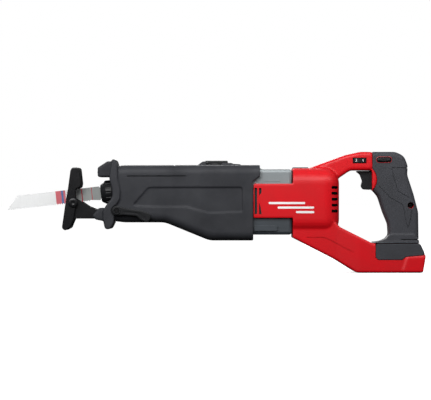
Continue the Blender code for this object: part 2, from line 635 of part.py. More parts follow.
def make_housing(shop):
    """Left and right clamshell halves of the motor housing, arm, handle core and foot."""
    rounded_box = lambda name, low, high, width: soften(shop.block(name, low, high), width, 3)
    arm = shop.plate("arm_body", [[(112.0, 118.0), (112.0, 138.0), (124.0, 138.3), (171.1, 155.4),
                                   (192.0, 160.0), (ARM_END, 160.0), (ARM_END, 135.3), (179.0, 135.3),
                                   (163.8, 125.0), (152.0, 118.0)]], -ARM_HALF, ARM_HALF)
    core_outline = inset(GRIP_OUTLINE, 3.0)
    core = shop.plate("core_body", [[(200.0, 157.0)] + core_outline[1:7]
                                    + [(267.1, 20.0), (229.0, 20.0)] + core_outline[9:]
                                    + [(200.0, 110.3)]], -CORE_HALF, CORE_HALF)
    crescent = shop.plate("guard_body", [arc(GUARD_X, GUARD_Z, GUARD_RADIUS, -48, 48, 8)], -17.2, 17.2)
    foot = shop.plate("foot_body", [FOOT_OUTLINE], -1.0, 1.0, None,
                      ((60.0, 36.0), (160.0, 36.0), (190.0, 38.0), (300.0, 38.0)))
    tongues = [shop.block("tongue_left", (49.8, -40, 72), (110, -36.3, 118)),
               shop.block("tongue_right", (49.8, 36.3, 72), (110, 40, 118))]
    nose_trim = shop.plate("housing_front_trim", [[(40.0, 30.0), (HOUSING_FRONT, 30.0),
                                                   (HOUSING_FRONT, 160.0), (40.0, 160.0)]], -60.0, 60.0)
    below_arm = shop.plate("under_arm_trim", [[(ARM_END, 95.0), (190.0, 95.0), (190.0, 135.2),
                                               (ARM_END, 135.2)]], -20.0, 20.0)

    bay = rounded_box("motor_bay", (70, -BARREL_HALF + WALL, BARREL_BOTTOM + WALL),
                      (BARREL_REAR - WALL, BARREL_HALF - WALL, BARREL_TOP - WALL), BARREL_ROUND - WALL)
    keel_room = shop.plate("keel_room", [[(102.5, 66.0), (102.5, 50.5), (160.6, 20.5), (188.0, 18.0),
                                          (203.0, 18.0), (203.0, 36.6), (163.0, 56.6), (150.0, 66.0)]],
                           -32.5, 32.5)
    arm_room = shop.plate("arm_room", [[(150.0, 122.0), (150.0, 142.0), (171.6, 151.6), (193.0, 155.4),
                                        (212.0, 155.4), (212.0, 138.6), (178.0, 138.6), (160.0, 126.0)]],
                          -15.4, 15.4)
    grip_room = shop.plate("grip_room", [[(210.0, 153.5), (236.0, 153.5), (246.0, 135.0), (247.0, 124.0),
                                          (253.0, 104.0), (255.0, 80.0), (256.0, 30.0), (236.5, 30.0),
                                          (236.0, 62.0), (229.0, 81.0), (222.0, 104.0), (210.0, 112.0)]],
                           -11.5, 11.5)
    rail_room = shop.block("battery_rail_room", (170, -31, 6), (262, 31, 14))
    rail_mouth = shop.block("battery_rail_mouth", (170, -27, -5), (262, 27, 7))
    pads = [shop.plate("pad_room_left", [inset(PAD_OUTLINE, -1.5 * GAP)], -60.0, -23.7),
            shop.plate("pad_room_right", [inset(PAD_OUTLINE, -1.5 * GAP)], 23.7, 60.0)]
    trigger_room = shop.block("trigger_room", (190, -8.4, 108.6), (224, 8.4, 135.6))
    lock_room = soften(shop.block("lock_room", (213.6, -30, 145.9), (233.4, 30, 153.1)), 3.2)
    dial_window = shop.block("dial_window", (182, -30, 144.6), (200.4, -10, 152.2))
    dial_room = shop.rod("dial_room", (191.2, -2.3, 144.6), (191.2, -2.3, 152.2), 17.6)
    seat = shop.rod("rear_bearing_seat", (150.0, 0, MOTOR_HEIGHT), (162.0, 0, MOTOR_HEIGHT), 14.0)
    seat_bore = shop.rod("rear_bearing_bore", (140, 0, MOTOR_HEIGHT), (158.8, 0, MOTOR_HEIGHT),
                         BEARING_RADIUS + GAP)
    cavities = [bay, keel_room, arm_room, grip_room]
    holes = [rail_room, rail_mouth, *pads, trigger_room, lock_room, dial_window, dial_room]
    for index in range(5):
        height = 112.6 - 7.8 * index
        holes.append(shop.block(f"rear_vent_{index}", (153.1, -60, height - 1.9), (161.2, 60, height + 1.9)))
    for index, (x0, x1, z0, z1) in enumerate(((51.5, 54.9, 77.4, 111.9), (57.4, 60.8, 77.1, 92.5),
                                              (57.4, 60.8, 100.0, 111.8))):
        holes.append(shop.block(f"front_vent_{index}", (x0, -60, z0), (x1, 60, z1)))
    bosses = []
    screw_holes = []
    for name, (x, z, half, radius, head) in HOUSING_SCREWS.items():
        bosses.append(shop.rod(f"boss_{name}", (x, -half + 1, z), (x, half - 1, z), radius, sides=SMALL_SIDES))
        screw_holes.append(shop.rod(f"screw_hole_{name}", (x, head * half, z), (x, head * (5 - half), z), 2.2,
                                    sides=SCREW_SIDES))
        screw_holes.append(shop.rod(f"screw_recess_{name}", (x, head * FAR, z), (x, head * (half - 6), z),
                                    4.0, sides=SCREW_SIDES))
        make_screw(shop, f"housing_screw_{name}", (x, head * (half - 6.3), z), (0, -head, 0), 2 * half - 13)

    soften(arm, 5.0)
    soften(core, 3.0, 1)
    soften(foot, 4.0)
    for name, side in (("housing_left", -1), ("housing_right", 1)):
        half_space = shop.block(f"{name}_side", (-FAR, side * GAP / 2, -FAR), (2 * FAR, side * FAR, FAR))
        half = rounded_box(name, (70, -BARREL_HALF, BARREL_BOTTOM), (BARREL_REAR, BARREL_HALF, BARREL_TOP),
                           BARREL_ROUND)
        shop.cutters.objects.unlink(half)
        half.hide_render = False
        half.display_type = "TEXTURED"
        shop.file(half, "red_nylon")
        join(half, arm, foot, core, crescent)
        cut(half, nose_trim, *cavities)
        join(half, *tongues, seat, *bosses)
        cut(half, seat_bore, below_arm, *holes, *screw_holes)
        keep(half, half_space)


def make_grips(shop):
    """Left and right rubber grips that wrap the handle core, and the two foot pads."""
    core_room = [(200.0, 157.3)] + inset(GRIP_OUTLINE, 2.7)[1:7] + [(267.4, 20.0), (228.5, 20.0)]
    core_room += inset(GRIP_OUTLINE, 2.7)[9:-1] + [(200.0, 109.8)]
    room = shop.plate("core_room", [core_room], -CORE_HALF - GAP, CORE_HALF + GAP)
    guard_room = shop.rod("guard_room", (GUARD_X, -40, GUARD_Z), (GUARD_X, 40, GUARD_Z), GUARD_RADIUS + GAP)
    trigger_room = shop.block("grip_trigger_room", (190, -8.4, 108.6), (224, 8.4, 135.6))
    lock_room = soften(shop.block("grip_lock_room", (213.6, -30, 145.9), (233.4, 30, 153.1)), 3.2)
    screw_rooms = []
    for name in ("grip_top", "grip"):
        x, z, _, _, head = HOUSING_SCREWS[name]
        screw_rooms.append(shop.rod(f"{name}_screw_room", (x, head * FAR, z), (x, head * 4, z), 4.3,
                                    sides=SCREW_SIDES))
    for name, side in (("grip_left", -1), ("grip_right", 1)):
        half_space = shop.block(f"{name}_side", (0, side * GAP / 2, -FAR), (2 * FAR, side * FAR, FAR))
        grip = soften(shop.plate(name, [GRIP_OUTLINE], -GRIP_HALF, GRIP_HALF, "grey_rubber"), 5.5, 3)
        cut(grip, room, guard_room, trigger_room, lock_room, *screw_rooms)
        keep(grip, half_space)
    trimmed = [(x, z) for x, z in PAD_OUTLINE if x < 270] + [(277.2, 23.4), (270.2, 38.2), (211.3, 38.2)]
    trimmed[0] = (211.3, 38.2)
    trimmed.pop()
    for name, low, high in (("foot_pad_left", -38.0, -24.0), ("foot_pad_right", 24.0, 38.0)):
        soften(shop.plate(name, [trimmed], low, high, "grey_rubber"), 2.0)


# ---------------------------------------------------------------- controls and electrics

def make_controls(shop):
    """Trigger, its spring and switch, the lock button, the speed dial and the orbit selector."""
    outline = [(186.0, 134.8), (192.5, 130.0), (195.6, 121.4), (193.6, 114.3), (196.6, 110.0),
               (205.4, 109.6), (213.0, 112.0), (213.0, 134.8)]
    trigger = soften(shop.plate("trigger", [outline], -8.0, 8.0, "black_plastic"), 1.0)
    hang(joint_axis("trigger_axis", (200, 0, 123)), trigger)
    spring_place = Matrix.Translation((0.2141, 0, 0.124)) @ ALONG_X
    shop.coil("trigger_spring", 4.0, 0.8, 7.0, 4, "steel", spring_place)
    shop.block("switch_body", (222.6, -9, 116), (238, 9, 138), "black_plastic")

    lock = soften(shop.block("lock_button", (214.0, -20.5, 146.3), (233.0, 16.5, 152.7), "black_plastic"), 3.0)
    hang(joint_axis("lock_axis", (223.5, 0, 149.5)), lock)

    dial = shop.plate("speed_dial", [toothed_outline(16.3, 17.0, 16)], 145.2, 151.6, "black_plastic", flat="XY")
    dial.matrix_world = Matrix.Translation((0.1912, -0.0023, 0))
    hang(joint_axis("dial_axis", (191.2, -2.3, 148.4)), dial)

    knob_place = Matrix.Translation((0.0012, 0, 0))
    knob_profile = [(0.0, 148.5), (14.6, 148.5), (16.0, 147.0), (16.4, 142.6), (0.0, 142.6)]
    knob = shop.turned("orbit_knob", knob_profile, "black_plastic", knob_place)
    shaft = shop.rod("orbit_shaft", (1.2, 0, 136.0), (1.2, 0, 142.3), 4.0, "steel", SMALL_SIDES)
    hang(joint_axis("orbit_axis", (1.2, 0, 142)), knob, shaft)


def make_electrics(shop):
    """Motor controller, and the battery terminal block with its three blades."""
    soften(shop.block("motor_controller", (128, -26, 41), (156, 26, 57), "black_plastic"), 1.5, 1)
    block = shop.block("terminal_block", (194, -20, 3), (208, 20, 13.7), "black_plastic")
    for name, y in (("terminal_left", -12), ("terminal_middle", 0), ("terminal_right", 12)):
        socket = shop.block(f"{name}_socket", (204, y - 0.9, 4.6), (220, y + 0.9, 11.4))
        cut(block, socket)
        shop.block(name, (204.3, y - 0.5, 5), (222, y + 0.5, 11), "copper")


def main():
    """Build the whole saw."""
    clear_scene()
    shop = Shop()
    cutters = make_shared_cutters(shop)
    make_gear_case(shop, cutters)
    make_boot(shop, cutters)
    make_shoe(shop)
    make_lever(shop)
    make_lamp(shop)
    make_spindle(shop)
    make_bushings(shop)
    make_gears(shop)
    make_motor(shop)
    make_housing(shop)
    make_grips(shop)
    make_controls(shop)
    make_electrics(shop)
    for piece in shop.parts.objects:
        if piece.type == "MESH":
            piece.data.shade_smooth()
            piece.data.set_sharp_from_angle(angle=math.radians(30))


main()
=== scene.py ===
"""Looks of a cordless reciprocating saw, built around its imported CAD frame.

X runs along the tool with the blade towards -X, Y across it and +Z up. Sizes in this script are
millimetres and become metres when a mesh is made.
"""

import logging
import math
from dataclasses import dataclass
from enum import Enum
from functools import lru_cache
from typing import Any

import bmesh
import bpy
from mathutils import Matrix, Vector

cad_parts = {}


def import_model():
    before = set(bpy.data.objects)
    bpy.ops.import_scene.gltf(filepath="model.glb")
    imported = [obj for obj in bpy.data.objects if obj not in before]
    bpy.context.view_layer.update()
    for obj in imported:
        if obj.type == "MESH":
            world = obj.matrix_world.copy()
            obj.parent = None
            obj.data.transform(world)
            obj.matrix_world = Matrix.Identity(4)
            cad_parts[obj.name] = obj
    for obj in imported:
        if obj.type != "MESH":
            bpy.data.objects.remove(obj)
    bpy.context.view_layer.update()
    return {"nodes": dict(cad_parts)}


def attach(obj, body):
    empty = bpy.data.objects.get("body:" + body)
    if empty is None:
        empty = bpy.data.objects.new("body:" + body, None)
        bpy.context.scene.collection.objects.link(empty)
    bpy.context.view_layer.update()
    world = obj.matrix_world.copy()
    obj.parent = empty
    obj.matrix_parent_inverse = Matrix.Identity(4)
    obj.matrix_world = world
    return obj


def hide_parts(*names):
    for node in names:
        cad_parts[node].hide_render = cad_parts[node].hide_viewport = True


LOG = logging.getLogger("saw")
MM = 0.001
Point = tuple[float, float]
Place = tuple[float, float, float]
Outline = list[Point]
Stations = tuple[Point, ...]

# FAR lies past the top and past the front of the boot, 2 FAR past the rear end, and WIDE past both
# flanks.
FAR = 200.0
WIDE = 60.0
# Air between two parts that meet.
GAP = 0.3
SIDES = (("left", -1), ("right", 1))

# The spindle leans down to the front and crosses x = 0 at this height.
SPINDLE_HEIGHT = 122.6
TILT = math.radians(6.5)
SPINDLE = Matrix.Translation((0, 0, SPINDLE_HEIGHT * MM)) @ Matrix.Rotation(-TILT, 4, "Y")
SPINDLE_LINE = SPINDLE @ Matrix.Rotation(math.pi / 2, 4, "Y")
# Height of the motor's axis, line (x, z) of the release lever's shaft, and the selector knob's middle.
MOTOR_HEIGHT = 97.0
LEVER_PIVOT: Point = (-130.2, 81.7)
KNOB_X = 1.2
# Middle (x, y) of the speed dial and its tip radius.
DIAL: Point = (191.2, -2.3)
DIAL_RADIUS = 17.0
# Middle (x, z) of the round guard behind the trigger.
GUARD: Point = (193.0, 123.0)
GUARD_RADIUS = 21.2
# Low and high corner of the rooms that the trigger and the lock button move in.
TRIGGER_ROOM: tuple[Place, Place] = ((190, -8.4, 108.6), (224, 8.4, 135.6))
LOCK_ROOM: tuple[Place, Place] = ((213.6, -30, 145.9), (233.4, 30, 153.1))
# Screw line x and z, the width to its side there, its boss radius, and the side of its head.
SCREWS: dict[str, tuple[float, float, float, float, int]] = {
    "arm": (158.0, 134.0, 18.0, 5.0, 1), "barrel": (108.5, 58.5, 36.0, 5.0, 1),
    "keel": (176.0, 32.0, 36.8, 5.0, 1), "grip_top": (243.5, 144.0, 14.5, 5.0, 1),
    "grip": (259.0, 89.0, 14.5, 3.0, -1), "foot": (268.0, 12.0, 38.0, 5.0, 1)}
# Side outline of the handle, and of the pads on the foot.
GRIP_LINE: Outline = [(208.3, 160.0), (239.0, 160.0), (250.5, 154.5), (255.6, 141.0), (254.6, 129.6),
                      (262.9, 104.3), (269.3, 79.9), (270.1, 39.0), (225.7, 39.0), (230.2, 49.9),
                      (229.3, 64.2), (222.8, 79.9), (215.9, 101.4), (208.3, 109.0)]
PAD_LINE: Outline = [(211.3, 38.2), (211.3, 20.5), (214.5, 17.2), (246.0, 17.2), (251.5, 21.3),
                     (277.2, 23.4), (270.2, 38.2)]
# The stretches of GRIP_LINE behind and before the hand.
REAR, FRONT = slice(1, 7), slice(9, 13)


# ---------------------------------------------------------------- colour and nodes

def linear(colour: str, alpha: float = 1.0) -> tuple[float, float, float, float]:
    """Turn an sRGB hex colour to linear light.

    Args:
        colour: Six hex digits after a hash.
        alpha: Opacity to put after the three channels.

    Returns:
        Linear red, green, blue and alpha.
    """
    shares = [int(colour[start:start + 2], 16) / 255.0 for start in (1, 3, 5)]
    red, green, blue = [s / 12.92 if s <= 0.04045 else ((s + 0.055) / 1.055) ** 2.4 for s in shares]
    return red, green, blue, alpha


def add_node(tree: bpy.types.NodeTree, kind: str, settings: dict[str, Any] | None = None,
             inputs: dict[str | int, Any] | None = None) -> bpy.types.Node:
    """Add a node with its settings and links.

    Args:
        tree: Node tree to add to.
        kind: Blender's type name of the node.
        settings: Attributes to set on the node.
        inputs: Input values, or sockets to link from, by input name or index.

    Returns:
        The new node.
    """
    node = tree.nodes.new(kind)
    for name, value in (settings or {}).items():
        setattr(node, name, value)
    for name, value in (inputs or {}).items():
        if isinstance(value, bpy.types.NodeSocket):
            tree.links.new(value, node.inputs[name])
        else:
            node.inputs[name].default_value = value
    return node


class Pattern(Enum):
    """How a surface's fine relief was made."""

    SPARKED = "even grain of a spark-eroded mould"
    STIPPLED = "raised dots of a grip texture"
    CAST = "open orange peel of a casting or powder coat"
    GROUND = "fine lines along the tool from grinding"
    WOUND = "close turns of a winding"


@dataclass(frozen=True)
class Finish:
    """One real material and how its surface was made.

    Attributes:
        name: Material name.
        colour: Main sRGB hex colour.
        shade: sRGB hex colour of the patches in it.
        roughness: Lowest and highest roughness over the patches.
        metallic: 1 for bare metal.
        pattern: Kind of fine relief.
        pitch_mm: Distance from one grain, dot or line to the next.
        depth_mm: Height of the relief.
        patch_mm: Size of the colour patches.
        scuff: Share of the surface that handling has scuffed.
        scuff_colour: sRGB hex colour of a scuff.
        ior: Index of refraction.
        coat: Weight of a clear coat.
        transmission: 1 for clear plastic.
        specular: Strength of the reflection from its skin; 0.5 is a clean polished one.
    """

    name: str
    colour: str
    shade: str
    roughness: tuple[float, float]
    metallic: float = 0.0
    pattern: Pattern = Pattern.SPARKED
    pitch_mm: float = 0.8
    depth_mm: float = 0.02
    patch_mm: float = 35.0
    scuff: float = 0.0
    scuff_colour: str = "#808080"
    ior: float = 1.5
    coat: float = 0.0
    transmission: float = 0.0
    specular: float = 0.5


EVEN: Place = (1.0, 1.0, 1.0)
PATTERN_STRETCH = {Pattern.GROUND: (0.06, 1.0, 1.0), Pattern.WOUND: (1.0, 0.05, 0.05)}


def relief_height(tree: bpy.types.NodeTree, finish: Finish,
                  place: bpy.types.NodeSocket) -> bpy.types.NodeSocket:
    """Add the nodes of a finish's fine relief.

    Args:
        tree: Node tree to add to.
        finish: Finish whose pattern is drawn.
        place: Object coordinates.

    Returns:
        Socket with the relief's height, from 0 to 1.
    """
    stretched = add_node(tree, "ShaderNodeMapping",
                         inputs={"Vector": place, "Scale": PATTERN_STRETCH.get(finish.pattern, EVEN)})
    scale = 1.0 / (finish.pitch_mm * MM)
    if finish.pattern is Pattern.STIPPLED:
        cells = add_node(tree, "ShaderNodeTexVoronoi", {"feature": "SMOOTH_F1"},
                         {"Vector": stretched.outputs["Vector"], "Scale": scale, "Smoothness": 0.4})
        dots = add_node(tree, "ShaderNodeMapRange", {"interpolation_type": "SMOOTHSTEP"},
                        {"Value": cells.outputs["Distance"], "From Min": 0.15, "From Max": 0.6,
                         "To Min": 1.0, "To Max": 0.0})
        return dots.outputs["Result"]
    detail = 4.0 if finish.pattern is Pattern.GROUND else 2.0
    grain = add_node(tree, "ShaderNodeTexNoise", {"noise_dimensions": "3D"},
                     {"Vector": stretched.outputs["Vector"], "Scale": scale, "Detail": detail,
                      "Roughness": 0.55})
    return grain.outputs["Fac"]


@lru_cache(maxsize=None)
def material_of(finish: Finish) -> bpy.types.Material:
    """Build a finish's material, once.

    Args:
        finish: Finish to build.

    Returns:
        Procedural material on Object coordinates.
    """
    made = bpy.data.materials.new(finish.name)
    made.use_nodes = True
    tree = made.node_tree
    shader = tree.nodes["Principled BSDF"]
    place = add_node(tree, "ShaderNodeTexCoord").outputs["Object"]
    patches = add_node(tree, "ShaderNodeTexNoise", {"noise_dimensions": "3D"},
                       {"Vector": place, "Scale": 1.0 / (finish.patch_mm * MM), "Detail": 3.0})
    spread = {"Value": patches.outputs["Fac"], "From Min": 0.3, "From Max": 0.7}
    share = add_node(tree, "ShaderNodeMapRange", inputs=spread).outputs["Result"]
    colour = add_node(tree, "ShaderNodeMix", {"data_type": "RGBA"},
                      {"Factor": share, "A": linear(finish.colour), "B": linear(finish.shade)}).outputs[2]
    low, high = finish.roughness
    rough = add_node(tree, "ShaderNodeMapRange",
                     inputs={**spread, "To Min": low, "To Max": high}).outputs["Result"]
    if finish.scuff > 0:
        # Short rubbed marks a few millimetres long, drawn coarser than real ones so that they show.
        drawn = add_node(tree, "ShaderNodeMapping", inputs={"Vector": place, "Scale": (90.0, 220.0, 420.0),
                                                            "Rotation": (0.0, 0.35, 0.0)})
        marks = add_node(tree, "ShaderNodeTexNoise", {"noise_dimensions": "3D"},
                         {"Vector": drawn.outputs["Vector"], "Scale": 1.0, "Detail": 5.0,
                          "Roughness": 0.7})
        worn = add_node(tree, "ShaderNodeMapRange",
                        inputs={"Value": marks.outputs["Fac"], "From Min": 0.66 - finish.scuff,
                                "From Max": 0.8 - finish.scuff, "To Max": 0.5})
        colour = add_node(tree, "ShaderNodeMix", {"data_type": "RGBA"},
                          {"Factor": worn.outputs["Result"], "A": colour,
                           "B": linear(finish.scuff_colour)}).outputs[2]
    tree.links.new(colour, shader.inputs["Base Color"])
    tree.links.new(rough, shader.inputs["Roughness"])
    bump = add_node(tree, "ShaderNodeBump",
                    inputs={"Height": relief_height(tree, finish, place), "Distance": finish.depth_mm * MM})
    tree.links.new(bump.outputs["Normal"], shader.inputs["Normal"])
    for socket, value in (("Metallic", finish.metallic), ("IOR", finish.ior),
                          ("Specular IOR Level", finish.specular), ("Coat Weight", finish.coat),
                          ("Coat Roughness", 0.12), ("Transmission Weight", finish.transmission)):
        shader.inputs[socket].default_value = value
    return made


# Glass-filled nylon moulded in a spark-eroded tool: satin, with a grain that breaks up highlights.
RED_NYLON = Finish("moulded_glass_filled_nylon", "#cc0c18", "#c00a14", (0.34, 0.42), pitch_mm=0.9,
                   depth_mm=0.012, scuff=0.01, scuff_colour="#d6404b", specular=0.3)
# Nitrile rubber moulded over the gear case: deep grey, dull, with a coarse even grain and dust.
BOOT_RUBBER = Finish("moulded_nitrile_rubber", "#323337", "#28292d", (0.5, 0.6), pitch_mm=1.1,
                     depth_mm=0.05, scuff=0.03, scuff_colour="#43454a", specular=0.2)
# Thermoplastic rubber moulded over the handle: dull, stippled so that a hand doesn't slip.
GRIP_RUBBER = Finish("overmoulded_thermoplastic_rubber", "#3b3c41", "#343539", (0.52, 0.62),
                     pattern=Pattern.STIPPLED, pitch_mm=1.3, depth_mm=0.06, scuff=0.02,
                     scuff_colour="#4a4b50", specular=0.22)
# Magnesium, die cast and bead blasted: pale grey with a soft sparkle from its skin.
MAGNESIUM = Finish("die_cast_magnesium", "#7f8587", "#83898b", (0.42, 0.55), metallic=0.35,
                   pattern=Pattern.CAST, pitch_mm=1.4, depth_mm=0.03)
# Painted shade: the same magnesium painted dark slate for the down-facing lower gear case and its lower ribs;
# half matt, with an orange-peel relief.
MAGNESIUM_IN_PAINTED_SHADE = Finish("magnesium_painted_dark_as_shade", "#363b40", "#353b41", (0.38, 0.48),
                     pattern=Pattern.CAST, pitch_mm=1.8, depth_mm=0.03, scuff=0.02,
                     scuff_colour="#6d7379")
# Mild steel, pressed and blacked in hot salts: near black and glossy, rubbed bright in places.
BLACK_OXIDE = Finish("black_oxide_steel", "#161618", "#101012", (0.22, 0.34), metallic=0.2,
                     pattern=Pattern.CAST, pitch_mm=1.2, depth_mm=0.015, scuff=0.03,
                     scuff_colour="#38383b", coat=0.12, specular=0.3)
# Acetal, injection moulded: black with a soft sheen.
ACETAL = Finish("moulded_acetal", "#1b1c1e", "#151618", (0.32, 0.4), pitch_mm=0.7, depth_mm=0.012,
                ior=1.48, specular=0.25)
# Alloy steel, ground along its length: bright, with fine lines.
GROUND_STEEL = Finish("ground_alloy_steel", "#a9abad", "#989a9d", (0.24, 0.36), metallic=1.0,
                      pattern=Pattern.GROUND, pitch_mm=0.4, depth_mm=0.006)
# Tin bronze pressed from powder: matt, open-pored, holding oil.
SINTERED_BRONZE = Finish("sintered_bronze", "#a9824e", "#8f6b3c", (0.4, 0.55), metallic=1.0,
                         pattern=Pattern.CAST, pitch_mm=0.5, depth_mm=0.02)
# Copper wire under clear enamel, wound close: warm and shiny across its turns.
ENAMELLED_COPPER = Finish("enamelled_copper_winding", "#b4683f", "#93502e", (0.25, 0.35), metallic=1.0,
                          pattern=Pattern.WOUND, pitch_mm=1.0, depth_mm=0.2)
# Copper alloy strip, tinned and blanked: pale, with stamping lines.
TINNED_COPPER = Finish("tinned_copper_strip", "#c0a489", "#b09478", (0.25, 0.35), metallic=1.0,
                       pattern=Pattern.GROUND, pitch_mm=0.3, depth_mm=0.004)
# Polybutylene terephthalate, injection moulded: the dull black of switch and terminal bodies.
SWITCH_PLASTIC = Finish("moulded_pbt", "#17181a", "#121315", (0.45, 0.55), pitch_mm=0.6, depth_mm=0.015)
# Polycarbonate, moulded clear in a polished tool.
LENS = Finish("moulded_polycarbonate", "#eef4f8", "#e6eef4", (0.04, 0.07), pitch_mm=3.0, depth_mm=0.004,
              ior=1.585, transmission=0.8)
# Two-part ink from a printing pad: flat white, slightly raised, with pinholes.
PRINT_WHITE = Finish("pad_printed_white_ink", "#ececec", "#dddddd", (0.4, 0.5), pitch_mm=0.5,
                     depth_mm=0.008)
# The same nylon pigmented darker, as moulded round a button.
DARK_RED_NYLON = Finish("moulded_dark_red_nylon", "#8d1721", "#7c121b", (0.38, 0.46), pitch_mm=0.8,
                        depth_mm=0.012)


# ---------------------------------------------------------------- outlines

def inset(corners: Outline, distance: float) -> Outline:
    """Move every side of a polygon inwards.

    Args:
        corners: Polygon of (x, z) corners.
        distance: How far to move the sides; a negative distance moves them outwards.

    Returns:
        The moved polygon.
    """
    area = sum(a[0] * b[1] - b[0] * a[1] for a, b in zip(corners, corners[1:] + corners[:1]))
    side = 1.0 if area > 0 else -1.0
    moved = []
    for index, (x, z) in enumerate(corners):
        here = Vector((x, z))
        arrive = (here - Vector(corners[index - 1])).normalized()
        leave = (Vector(corners[(index + 1) % len(corners)]) - here).normalized()
        first = Vector((-arrive.y, arrive.x)) * side
        second = Vector((-leave.y, leave.x)) * side
        shift = (first + second) * distance / (1.0 + first.dot(second))
        moved.append((x + shift.x, z + shift.y))
    return moved


# A bend gentler than this stays a corner, and an arc takes at most this share of a side.
GENTLE_BEND = math.radians(4)
ARC_SHARE = 0.46


def rounded(corners: Outline, radius: float, steps: int = 5) -> Outline:
    """Replace the corners of a polygon with arcs.

    Args:
        corners: Polygon of (x, z) corners.
        radius: Radius of the arcs, less where a side is too short for it.
        steps: Segments in each arc.

    Returns:
        The rounded polygon.
    """
    smooth = []
    for index, corner in enumerate(corners):
        here = Vector(corner)
        back = Vector(corners[index - 1]) - here
        ahead = Vector(corners[(index + 1) % len(corners)]) - here
        turn = math.pi - back.angle(ahead)
        if turn < GENTLE_BEND:
            smooth.append(corner)
            continue
        reach = min(radius * math.tan(turn / 2), ARC_SHARE * back.length, ARC_SHARE * ahead.length)
        start, end = here + back.normalized() * reach, here + ahead.normalized() * reach
        for step in range(steps + 1):
            share = step / steps
            point = start * (1 - share) ** 2 + here * (2 * share * (1 - share)) + end * share ** 2
            smooth.append((point.x, point.y))
    return smooth


def arc(centre: Point, radius: float, start: float, end: float, steps: int) -> Outline:
    """Points on an arc in the XZ plane.

    Args:
        centre: Centre (x, z).
        radius: Radius of the arc.
        start: First angle in degrees.
        end: Last angle in degrees.
        steps: Segments in the arc.

    Returns:
        The points, both ends included.
    """
    angles = [math.radians(start + (end - start) * step / steps) for step in range(steps + 1)]
    return [(centre[0] + radius * math.cos(a), centre[1] + radius * math.sin(a)) for a in angles]


def ribbon(line: Outline, width: float) -> Outline:
    """Outline of a band of constant width that follows an open line.

    Args:
        line: Points (x, z) of the band's middle.
        width: Width of the band.

    Returns:
        Closed outline of the band.
    """
    left, right = [], []
    for index, point in enumerate(line):
        before = Vector(line[max(index - 1, 0)])
        after = Vector(line[min(index + 1, len(line) - 1)])
        along = (after - before).normalized()
        across = Vector((-along.y, along.x)) * width / 2
        left.append((point[0] + across.x, point[1] + across.y))
        right.append((point[0] - across.x, point[1] - across.y))
    return left + right[::-1]


def half_width(x: float, stations: Stations) -> float:
    """Half width at x, straight between the stations."""
    if x <= stations[0][0]:
        return stations[0][1]
    for (x0, w0), (x1, w1) in zip(stations, stations[1:]):
        if x <= x1:
            return w0 + (w1 - w0) * (x - x0) / (x1 - x0)
    return stations[-1][1]


# ---------------------------------------------------------------- solids

def extruded(outline: Outline, low: float, high: float) -> bmesh.types.BMesh:
    """Extrude an outline across the tool.

    Args:
        outline: Corners (x, z).
        low: y of the outline.
        high: y to which it is drawn out.

    Returns:
        The closed bmesh, which its user frees.
    """
    form = bmesh.new()
    cap = form.faces.new([form.verts.new((x, low, z)) for x, z in outline])
    grown = bmesh.ops.extrude_face_region(form, geom=[cap])
    rim = [part for part in grown["geom"] if isinstance(part, bmesh.types.BMVert)]
    bmesh.ops.translate(form, verts=rim, vec=(0, high - low, 0))
    return form


# Meshes up to this size get even shading over their large flat faces.
EVEN_SHADING_FACES = 8000


